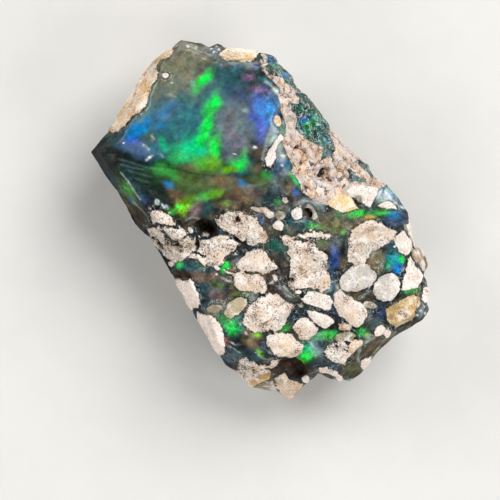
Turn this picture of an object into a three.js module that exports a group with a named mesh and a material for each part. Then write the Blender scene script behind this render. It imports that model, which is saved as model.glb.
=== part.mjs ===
// A piece of rough smoked opal: one natural stone, in which dark precious opal cements
// pale pumice clasts. It lies on its back with the broken show face up. The clear
// window facets fill one end of that face and the clasts crowd the other.
//
// Frame, in millimetres: +X along the stone towards its clast-rich end, +Y across it
// and +Z up out of the show face. The origin lies on the resting plane, under the
// middle of the stone.
//
// The plan is drawn on a sketch of small squares, x to the right and y down. The sketch
// lies turned against the stone's length. Heights are always in millimetres.

import * as THREE from 'three';
import { mergeVertices } from 'three/addons/utils/BufferGeometryUtils.js';

// Driving dimensions.
const STONE_LENGTH = 24; // mm, along +X
const SKETCH_LENGTH = 372.6; // squares that the same length takes
const SKETCH_TURN = THREE.MathUtils.degToRad(48.5); // from the sketch's x to the stone's +X
const SKETCH_MIDDLE = [257.1, 218.7]; // the square above the origin
const SQUARE = STONE_LENGTH / SKETCH_LENGTH; // mm a side

// The plan's rays all start here.
const HUB = [258, 222];

// Fineness of the faceted surface.
const STEPS_ALONG = 44;
const STEPS_ACROSS = 28;
const WALL_ROWS = 14; // rows round the stone's side, half of them above the rim

// The rim is the line where the upper side turns under: [x, y, height of the rim].
const RIM = [
  [90, 152, 5.2], [106, 133, 5.4], [120, 113, 5.6], [131, 95, 5.6], [140, 79, 5.5],
  [155, 60, 5.6], [170, 49, 5.7], [181, 40, 5.8], [201, 43, 5.8], [209, 47, 5.6],
  [217, 43, 5.2], [229, 48, 5.0], [244, 49, 5.0], [260, 51, 4.8], [270, 55, 4.7],
  [281, 64, 4.6], [291, 74, 4.6], [296, 88, 4.5], [312, 101, 4.5], [329, 127, 4.4],
  [349, 148, 4.3], [368, 165, 4.3], [375, 178, 4.4], [387, 183, 4.6], [400, 198, 4.7],
  [409, 213, 4.8], [411, 230, 4.8], [416, 245, 4.2], [425, 253, 3.8], [428, 264, 3.9],
  [425, 275, 4.4], [430, 287, 4.4], [428, 298, 4.3], [430, 310, 4.1], [424, 320, 4.1],
  [411, 328, 4.0], [394, 338, 3.9], [378, 354, 3.8], [363, 373, 3.7], [351, 382, 3.6],
  [338, 382, 3.5], [318, 374, 3.4], [306, 386, 3.1], [290, 400, 2.9], [276, 392, 3.0],
  [250, 388, 3.2], [240, 376, 3.6], [225, 365, 4.2], [213, 347, 4.7], [205, 331, 4.8],
  [195, 318, 4.8], [186, 300, 4.8], [173, 277, 4.9], [161, 256, 4.9], [150, 239, 4.7],
  [134, 224, 4.3], [127, 208, 4.5], [116, 190, 4.8], [102, 171, 5.0],
];

// Each facet is the plane through three corners: [x, y, height]. The faces carry the
// opal and the clasts, and the breaks chip the stone's edges all round.
const FACES = {
  window: [[100, 150, 7.5], [262, 178, 9.2], [190, 48, 7.3]],
  windowFoot: [[100, 150, 7.5], [262, 178, 9.2], [200, 216, 7.5]],
  footEnd: [[250, 222, 7.5], [262, 178, 9.2], [345, 212, 7.8]],
  clastFace: [[160, 240, 7.3], [400, 235, 7.6], [290, 345, 6.9]],
};
const BREAKS = {
  leftFlank: [[97, 151, 7.1], [142, 206, 7.2], [116, 190, 5.2]],
  sandySlope: [[279, 75, 8.1], [300, 190, 8.6], [375, 172, 5.0]],
  lumpyFoot: [[225, 352, 6.7], [312, 367, 6.5], [275, 396, 3.6]],
  clearCorner: [[345, 358, 6.5], [400, 322, 6.9], [380, 354, 4.6]],
  topBreak: [[215, 60, 7.5], [262, 67, 7.8], [240, 49, 5.6]],
  chalkRim: [[122, 131, 7.1], [160, 66, 7.3], [134, 90, 5.8]],
  darkCorner: [[140, 207, 7.1], [168, 232, 7.1], [140, 226, 4.8]],
  longFlank: [[165, 243, 7.1], [206, 316, 7.0], [181, 290, 5.2]],
  endBreak: [[402, 238, 7.4], [414, 306, 6.8], [426, 268, 4.9]],
};
const UNDERSIDE = {
  tipRise: [[158, 190, 0], [200, 118, 0], [105, 140, 2.8]],
  topRise: [[165, 125, 0], [238, 100, 0], [195, 58, 2.9]],
  slopeRise: [[235, 108, 0], [338, 205, 0], [325, 118, 2.8]],
  shoulderRise: [[358, 215, 0], [365, 280, 0], [418, 255, 2.7]],
  cornerRise: [[338, 296, 0], [378, 268, 0], [402, 328, 2.8]],
  footRise: [[262, 345, 0], [345, 318, 0], [350, 370, 1.3]],
  flankRise: [[172, 218, 0], [250, 318, 0], [187, 303, 2.9]],
};
const FACET_EDGE = 0.4; // mm, how softly two facets meet
const FACET_CURL = 0.6; // mm of lift for each square mm past a facet's farthest corner

// How wide the turn from face to rim is, in plan.
const TOP_TURN = 0.9;
const UNDER_TURN = 2.4;

// Hollows in the show face: [x, y, radius in squares, depth].
const HOLLOWS = [
  [207, 229, 9, 0.9], [293, 366, 12, 1.0], [308, 212, 6, 0.6], [322, 174, 10, 0.7],
  [190, 245, 9, 0.3], [357, 200, 5, 0.4], [182, 276, 6, 0.4], [278, 284, 12, 0.35],
  [333, 262, 9, 0.3], [380, 262, 13, 0.35], [290, 84, 7, 0.3], [232, 340, 12, 0.25],
];

// Clasts that stand a little proud of the opal: [x, y, half length, half width, turn].
const CLASTS = [
  [239, 228, 24, 13, 28], [218, 249, 20, 11, 8], [169, 243, 20, 13, 20],
  [257, 262, 20, 11, 12], [251, 282, 16, 9, 12], [308, 265, 26, 20, 78],
  [268, 313, 25, 17, -12], [285, 345, 18, 12, 15], [303, 329, 13, 10, 15],
  [321, 319, 13, 7, 20], [319, 300, 15, 8, 14], [350, 309, 20, 14, 62],
  [359, 280, 18, 12, -12], [386, 288, 14, 12, 70], [371, 238, 25, 14, -20],
  [403, 244, 12, 9, 60], [411, 275, 17, 10, 72], [400, 311, 18, 11, -42],
  [343, 203, 16, 8, 12], [364, 194, 16, 9, 10], [343, 352, 19, 11, -12],
  [192, 295, 16, 7, 62], [215, 335, 20, 8, 66], [254, 371, 15, 8, 12],
  [288, 386, 12, 11, 0], [145, 98, 34, 6, -63], [240, 56, 22, 5, 6],
];
const CLAST_RISE = 0.18;
const OVAL_SHOULDER = 0.3; // share of an oval's half size over which it fades out

// Broken lumps over the whole skin: [size of a lump in mm, how far it stands out].
const LUMPS = [[3.4, 0.4], [1.5, 0.2]];
// The sides and the underside broke in shallow bowls with sharp lips, as glass does.
const BOWL_SIZE = 3.6; // mm across
const BOWL_DEPTH = 1.1; // mm for a bowl as wide as that
const BOWL_LEVEL = 0.3; // share of it that a bowl's middle lies below the lumps
const BASE_FADE = 1.2; // mm of height over which both die out towards the flat base
const SHOW_FACE_LUMPS = 0.6; // share of them that the show face keeps
const WINDOW_LUMPS = 0.1; // and the glassy window, [x, y, half length, half width, turn]
const WINDOW = [188, 128, 104, 78, 25];

function onStone([x, y]) {
  const right = (x - SKETCH_MIDDLE[0]) * SQUARE;
  const up = (SKETCH_MIDDLE[1] - y) * SQUARE;
  return new THREE.Vector2(right, up).rotateAround(new THREE.Vector2(), SKETCH_TURN);
}

// A facet is flat as far as its farthest corner. Past it the facet curls away from the
// stone, up on the show face and down on the underside, so that it cuts no other side.
function facetHeight(corners, curl) {
  const points = corners.map(([x, y, height]) => {
    const plan = onStone([x, y]);
    return new THREE.Vector3(plan.x, plan.y, height);
  });
  const { normal, constant } = new THREE.Plane().setFromCoplanarPoints(...points);
  const plans = points.map(({ x, y }) => new THREE.Vector2(x, y));
  const middle = plans.reduce((sum, plan) => sum.add(plan), new THREE.Vector2()).divideScalar(3);
  const reach = Math.max(...plans.map((plan) => plan.distanceTo(middle)));
  return (plan) => {
    const flat = -(normal.x * plan.x + normal.y * plan.y + constant) / normal.z;
    const past = Math.max(plan.distanceTo(middle) - reach, 0);
    return flat + curl * past * past;
  };
}

const facetsOf = (table, curl) => Object.fromEntries(
  Object.entries(table).map(([name, corners]) => [name, facetHeight(corners, curl)]),
);
const faces = facetsOf(FACES, 0);
const breaks = facetsOf(BREAKS, FACET_CURL);
const rises = facetsOf(UNDERSIDE, -FACET_CURL);

// The lower of two heights, with the crest between them rounded off.
function lower(a, b) {
  const overlap = Math.max(FACET_EDGE - Math.abs(a - b), 0);
  return Math.min(a, b) - (overlap * overlap) / (4 * FACET_EDGE);
}
const higher = (a, b) => -lower(-a, -b);

const STEPS = [-1, 0, 1];
const NEIGHBOURS = STEPS.flatMap(
  (i) => STEPS.flatMap((j) => STEPS.map((k) => new THREE.Vector3(i, j, k))),
);

// A repeatable random number from -1 to 1 for each corner of a lattice.
function chance(i, j, k) {
  const spread = Math.sin(i * 127.1 + j * 311.7 + k * 74.7) * 43758.5453;
  return 2 * (spread - Math.floor(spread)) - 1;
}

// The lattice's numbers, blended smoothly in between.
function cloud(point) {
  const cell = point.clone().floor();
  const ease = (t) => t * t * (3 - 2 * t);
  const [fx, fy, fz] = point.clone().sub(cell).toArray().map(ease);
  const { lerp } = THREE.MathUtils;
  const row = (j, k) => lerp(
    chance(cell.x, cell.y + j, cell.z + k),
    chance(cell.x + 1, cell.y + j, cell.z + k),
    fx,
  );
  return lerp(lerp(row(0, 0), row(1, 0), fy), lerp(row(0, 1), row(1, 1), fy), fz);
}

function lumps(point) {
  return LUMPS.reduce(
    (sum, [size, height]) => sum + height * cloud(point.clone().divideScalar(size)),
    0,
  );
}

// Each bowl has a middle somewhere in its own cell of the lattice, and the ground rises
// from the nearest middle with the square of the distance.
function bowls(point) {
  const place = point.clone().divideScalar(BOWL_SIZE);
  const cell = place.clone().floor();
  const middles = NEIGHBOURS.map((step) => {
    const corner = cell.clone().add(step);
    const [i, j, k] = corner.toArray();
    const shift = new THREE.Vector3(chance(i, j, k), chance(j, k, i), chance(k, i, j));
    return corner.addScalar(0.5).addScaledVector(shift, 0.5);
  });
  const nearest = Math.min(...middles.map((middle) => middle.distanceToSquared(place)));
  return BOWL_DEPTH * (nearest - BOWL_LEVEL);
}

function hollowDepth(plan) {
  return HOLLOWS.reduce((sum, [x, y, radius, depth]) => {
    const away = plan.distanceTo(onStone([x, y])) / (radius * SQUARE);
    return sum + depth * Math.exp(-(away ** 4));
  }, 0);
}

// How fully an oval covers a point: 1 inside, falling to 0 over a shoulder at its outline.
function cover(plan, [x, y, length, width, turn]) {
  const along = SKETCH_TURN - THREE.MathUtils.degToRad(turn);
  const offset = plan.clone().sub(onStone([x, y])).rotateAround(new THREE.Vector2(), -along);
  const out = Math.hypot(offset.x / (length * SQUARE), offset.y / (width * SQUARE));
  return THREE.MathUtils.smoothstep(1 - out, 0, OVAL_SHOULDER);
}

const clastRise = (plan) => CLAST_RISE * Math.max(...CLASTS.map((clast) => cover(plan, clast)));

// The window slopes down over its foot to the clast face, and the breaks cut them all.
function showFace(plan) {
  const foot = lower(faces.windowFoot(plan), faces.footEnd(plan));
  const pastWindow = higher(foot, faces.clastFace(plan));
  const broken = Object.values(breaks).reduce(
    (height, facet) => lower(height, facet(plan)),
    lower(faces.window(plan), pastWindow),
  );
  return broken + clastRise(plan) - hollowDepth(plan);
}

// The base is truly flat where no rising facet of the underside lifts off it.
function backFace(plan) {
  const rise = Object.values(rises).reduce((height, facet) => higher(height, facet(plan)), -1);
  return Math.max(0, rise);
}

// The rim as polar coordinates about the hub, in order of angle.
const hub = onStone(HUB);
const rim = RIM.map(([x, y, height]) => {
  const spoke = onStone([x, y]).sub(hub);
  return { turn: spoke.angle(), reach: spoke.length(), height };
}).sort((a, b) => a.turn - b.turn);

function rimAt(turn) {
  const next = rim.findIndex((point) => point.turn > turn);
  const b = rim[Math.max(next, 0)];
  const a = rim.at(Math.max(next, 0) - 1);
  const full = 2 * Math.PI;
  const span = (b.turn - a.turn + full) % full;
  const share = ((turn - a.turn + full) % full) / span;
  const [pa, pb] = [a, b].map(({ turn: t, reach }) => new THREE.Vector2(reach, 0).rotateAround(new THREE.Vector2(), t));
  const plan = pa.lerp(pb, share);
  return { plan, height: THREE.MathUtils.lerp(a.height, b.height, share) };
}

// A point of a cube's skin, from -1 to 1 each way, becomes a point of the stone's. The
// cube's top and base spread over the plan, and its sides roll round the rim: the height
// on a side is a quarter turn from the rim up to the face, or down to the base. Then the
// skin breaks up into lumps and bowls, and none of them stands out past the rim.
function skinPoint({ x, y, z }) {
  const spread = new THREE.Vector2(x * Math.sqrt(1 - (y * y) / 2), y * Math.sqrt(1 - (x * x) / 2));
  const edge = rimAt((spread.angle() + 2 * Math.PI) % (2 * Math.PI));
  const roll = (Math.abs(z) * Math.PI) / 2;
  const inset = (z > 0 ? TOP_TURN : UNDER_TURN) * (1 - Math.cos(roll));
  const reach = spread.length() * (edge.plan.length() - inset);
  const outward = edge.plan.clone().normalize();
  const plan = outward.clone().multiplyScalar(reach).add(hub);
  const face = z > 0
    ? Math.max(showFace(plan), edge.height)
    : Math.min(backFace(plan), edge.height);
  const height = THREE.MathUtils.lerp(edge.height, face, Math.sin(roll));
  const point = new THREE.Vector3(plan.x, plan.y, height);

  const rimPlan = edge.plan.clone().add(hub);
  const rimPoint = new THREE.Vector3(rimPlan.x, rimPlan.y, edge.height);
  const fade = z > 0 ? 1 : THREE.MathUtils.smoothstep(height, 0, BASE_FADE);
  const broken = (lumps(point) + bowls(point)) * fade;
  const pastRim = broken - lumps(rimPoint) - bowls(rimPoint);
  const outwards = outward.multiplyScalar(Math.min(pastRim, inset) * Math.cos(roll));
  const showShare = THREE.MathUtils.lerp(SHOW_FACE_LUMPS, WINDOW_LUMPS, cover(plan, WINDOW));
  const upwards = z > 0 ? lumps(point) * showShare : -broken;
  point.add(new THREE.Vector3(outwards.x, outwards.y, upwards * Math.sin(roll)));
  point.z = Math.max(0, point.z);
  return point;
}

function stoneGeometry() {
  const cube = new THREE.BoxGeometry(2, 2, 2, STEPS_ALONG, STEPS_ACROSS, WALL_ROWS);
  cube.deleteAttribute('normal');
  cube.deleteAttribute('uv');
  const closed = mergeVertices(cube, 1e-5);
  const skin = closed.getAttribute('position');
  for (let i = 0; i < skin.count; i += 1) {
    const point = skinPoint(new THREE.Vector3().fromBufferAttribute(skin, i));
    skin.setXYZ(i, point.x, point.y, point.z);
  }
  closed.computeVertexNormals();
  return closed;
}

const smokedOpal = new THREE.MeshStandardMaterial({
  color: '#5f6258', roughness: 0.35, metalness: 0, flatShading: true,
});

const stone = new THREE.Mesh(stoneGeometry(), smokedOpal);
stone.name = 'rough_opal';

const roughBlackOpal = new THREE.Group();
roughBlackOpal.add(stone);

export default roughBlackOpal;
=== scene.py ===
"""Rough black opal, one natural stone: dark precious opal that cements pale pumice clasts.

The stone is one closed skin. A box's skin maps to it: the box's top and base spread over the
plan, and its sides roll round the rim. Marks are placed on a sketch of small squares, x to the
right and y down, that lies turned against the stone's length. Lengths in the formulas are in
millimetres, and the mesh is in metres.
"""

import functools
import math

import bpy
import numpy as np
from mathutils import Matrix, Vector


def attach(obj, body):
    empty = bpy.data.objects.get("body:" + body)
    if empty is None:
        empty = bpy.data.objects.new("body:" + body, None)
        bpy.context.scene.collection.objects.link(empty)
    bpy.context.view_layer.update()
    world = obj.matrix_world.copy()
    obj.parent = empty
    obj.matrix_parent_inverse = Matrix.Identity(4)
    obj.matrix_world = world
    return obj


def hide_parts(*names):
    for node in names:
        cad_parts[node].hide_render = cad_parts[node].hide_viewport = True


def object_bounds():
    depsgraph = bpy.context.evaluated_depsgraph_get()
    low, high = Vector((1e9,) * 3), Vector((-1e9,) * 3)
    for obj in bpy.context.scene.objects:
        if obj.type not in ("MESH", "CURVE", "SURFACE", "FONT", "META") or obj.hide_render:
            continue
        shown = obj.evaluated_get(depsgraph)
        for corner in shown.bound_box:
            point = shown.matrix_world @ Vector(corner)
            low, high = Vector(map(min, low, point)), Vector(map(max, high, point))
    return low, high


bl_info = {
    "name": "Rough Black Opal",
    "version": (1, 0, 0),
    "blender": (4, 5, 0),
    "location": "3D View > Sidebar > Opal",
    "description": "Builds one piece of rough black opal in pumice and the stage that it lies on",
    "category": "Add Mesh",
}

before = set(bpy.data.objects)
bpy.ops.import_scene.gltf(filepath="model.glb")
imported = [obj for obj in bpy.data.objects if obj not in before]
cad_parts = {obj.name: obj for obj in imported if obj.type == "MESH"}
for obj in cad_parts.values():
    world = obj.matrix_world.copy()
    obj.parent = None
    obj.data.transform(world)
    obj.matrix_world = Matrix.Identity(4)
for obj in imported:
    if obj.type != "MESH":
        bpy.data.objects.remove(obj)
CAD_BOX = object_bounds()

MM = 0.001  # metres in a millimetre
STONE_NODE = "rough_opal"
STONE_BODY = "root"

# The sketch, in squares. The stone's length sets how large a square is.
SKETCH_LENGTH = 372.6
SKETCH_TURN = math.radians(48.5)
SKETCH_MIDDLE = np.array((257.1, 218.7))
STONE_LENGTH = (CAD_BOX[1].x - CAD_BOX[0].x) / MM
SQUARE = STONE_LENGTH / SKETCH_LENGTH
HUB = (258, 222)

# Steps of the box's lattice along, across and up.
LATTICE = (230, 150, 40)

# The rim is the line where the upper side turns under: x, y, height of the rim.
RIM = (
    (90, 152, 5.2), (106, 133, 5.4), (120, 113, 5.6), (131, 95, 5.6), (140, 79, 5.5),
    (155, 60, 5.6), (170, 49, 5.7), (181, 40, 5.8), (201, 43, 5.8), (209, 47, 5.6), (217, 43, 5.2),
    (229, 48, 5.0), (244, 49, 5.0), (260, 51, 4.8), (270, 55, 4.7), (281, 64, 4.6), (291, 74, 4.6),
    (296, 88, 4.5), (312, 101, 4.5), (329, 127, 4.4), (349, 148, 4.3), (368, 165, 4.3),
    (375, 178, 4.4), (387, 183, 4.6), (400, 198, 4.7), (409, 213, 4.8), (411, 230, 4.8),
    (416, 245, 4.2), (425, 253, 3.8), (428, 264, 3.9), (425, 275, 4.4), (430, 287, 4.4),
    (428, 298, 4.3), (430, 310, 4.1), (424, 320, 4.1), (411, 328, 4.0), (394, 338, 3.9),
    (378, 354, 3.8), (363, 373, 3.7), (351, 382, 3.6), (338, 382, 3.5), (318, 374, 3.4),
    (306, 386, 3.1), (290, 400, 2.9), (276, 392, 3.0), (250, 388, 3.2), (240, 376, 3.6),
    (225, 365, 4.2), (213, 347, 4.7), (205, 331, 4.8), (195, 318, 4.8), (186, 300, 4.8),
    (173, 277, 4.9), (161, 256, 4.9), (150, 239, 4.7), (134, 224, 4.3), (127, 208, 4.5),
    (116, 190, 4.8), (102, 171, 5.0),
)

# Each facet is the plane through three corners, x, y, height.
WINDOW_FACE = ((100, 150, 7.5), (262, 178, 9.2), (190, 48, 7.3))
WINDOW_FOOT = ((100, 150, 7.5), (262, 178, 9.2), (200, 216, 7.5))
FOOT_END = ((250, 222, 7.5), (262, 178, 9.2), (345, 212, 7.8))
CLAST_FACE = ((160, 240, 7.3), (400, 235, 7.6), (290, 345, 6.9))
BREAKS = (
    ((97, 151, 7.1), (142, 206, 7.2), (116, 190, 5.2)),
    ((279, 75, 8.1), (300, 190, 8.6), (375, 172, 5.0)),
    ((225, 352, 6.7), (312, 367, 6.5), (275, 396, 3.6)),
    ((345, 358, 6.5), (400, 322, 6.9), (380, 354, 4.6)),
    ((215, 60, 7.5), (262, 67, 7.8), (240, 49, 5.6)),
    ((122, 131, 7.1), (160, 66, 7.3), (134, 90, 5.8)),
    ((140, 207, 7.1), (168, 232, 7.1), (140, 226, 4.8)),
    ((165, 243, 7.1), (206, 316, 7.0), (181, 290, 5.2)),
    ((402, 238, 7.4), (414, 306, 6.8), (426, 268, 4.9)),
)
UNDERSIDE = (
    ((158, 190, 0), (200, 118, 0), (105, 140, 2.8)),
    ((165, 125, 0), (238, 100, 0), (195, 58, 2.9)),
    ((235, 108, 0), (338, 205, 0), (325, 118, 2.8)),
    ((358, 215, 0), (365, 280, 0), (418, 255, 2.7)),
    ((338, 296, 0), (378, 268, 0), (402, 328, 2.8)),
    ((262, 345, 0), (345, 318, 0), (350, 370, 1.3)),
    ((172, 218, 0), (250, 318, 0), (187, 303, 2.9)),
)
FACET_EDGE = 0.4  # mm, over which a crest between facets is rounded
FACET_CURL = 0.6
TOP_TURN = 0.9  # mm, how far the skin draws in above the rim, and below it
UNDER_TURN = 2.4

# Hollows in the show face: x, y, radius in squares, depth.
HOLLOWS = (
    (207, 229, 9, 0.9), (293, 366, 12, 1.0), (308, 212, 6, 0.6), (322, 174, 8, 0.45),
    (190, 245, 9, 0.3), (357, 200, 5, 0.4), (182, 276, 6, 0.4), (278, 284, 12, 0.35),
    (333, 262, 9, 0.3), (380, 262, 13, 0.35), (290, 84, 7, 0.3), (232, 340, 12, 0.25),
)

# The broken skin: size of a lump and how far it stands out, then the bowl-shaped breaks.
LUMPS = ((3.4, 0.4), (1.5, 0.2))
BOWL_SIZE = 3.6
BOWL_DEPTH = 1.1
BOWL_LEVEL = 0.3
BASE_FADE = 1.2  # height above the floor where the breaks are full
SHOW_FACE_LUMPS = 0.6  # the share of the lumps that the show face has, and the window
WINDOW_LUMPS = 0.1
WINDOW = (188, 128, 104, 78, 25)  # x, y, half length, half width, turn
OVAL_SHOULDER = 0.3

# sRGB colours of the pumice clasts and of the opal.
CLAST_PAINTS = {
    "cream": "#E9D8CA",
    "pink": "#F4E4DA",
    "chalk": "#E9DED4",
    "ash": "#CCC7C0",
    "white": "#EFE8E0",
    "ochre": "#B89864",
    "straw": "#E4CB98",
    "peach": "#E2C39E",
    "olive": "#BBAF92",
    "drab": "#8F8773",
    "apricot": "#EDBE86",
    "tan": "#B39A82",
    "umber": "#6E5A45",
}
OPAL_PAINTS = {
    "black": "#141A1B",
    "body": "#212C2A",
    "glass": "#74745F",
    "horn": "#8B8876",
    "azure": "#0A7FC0",
    "electric": "#0C8CE8",
    "sky": "#4388CC",
    "blue": "#1F62C8",
    "slate": "#4A6384",
    "navy": "#1C3A66",
    "ink": "#18324A",
    "teal": "#2F6E78",
    "deep_teal": "#163F42",
    "sea": "#0A4E46",
    "cyan": "#18B4C4",
    "violet": "#4C62C4",
    "lavender": "#6C7CB4",
    "mauve": "#7A5A86",
    "plum": "#3A3038",
    "smoke": "#66757C",
    "haze": "#9AA8A6",
    "frost": "#C6D6D8",
    "jade": "#08BE80",
    "green": "#06DC48",
    "leaf": "#3DB84A",
    "lime": "#70B80E",
    "moss": "#4F6B36",
    "bottle": "#14301F",
    "khaki": "#776A4C",
    "brown": "#6A5444",
    "bark": "#30261D",
    "humus": "#463C2C",
    "drab": "#8A8A72",
    "rust": "#A5483A",
    "amber": "#C98A36",
}

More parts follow.
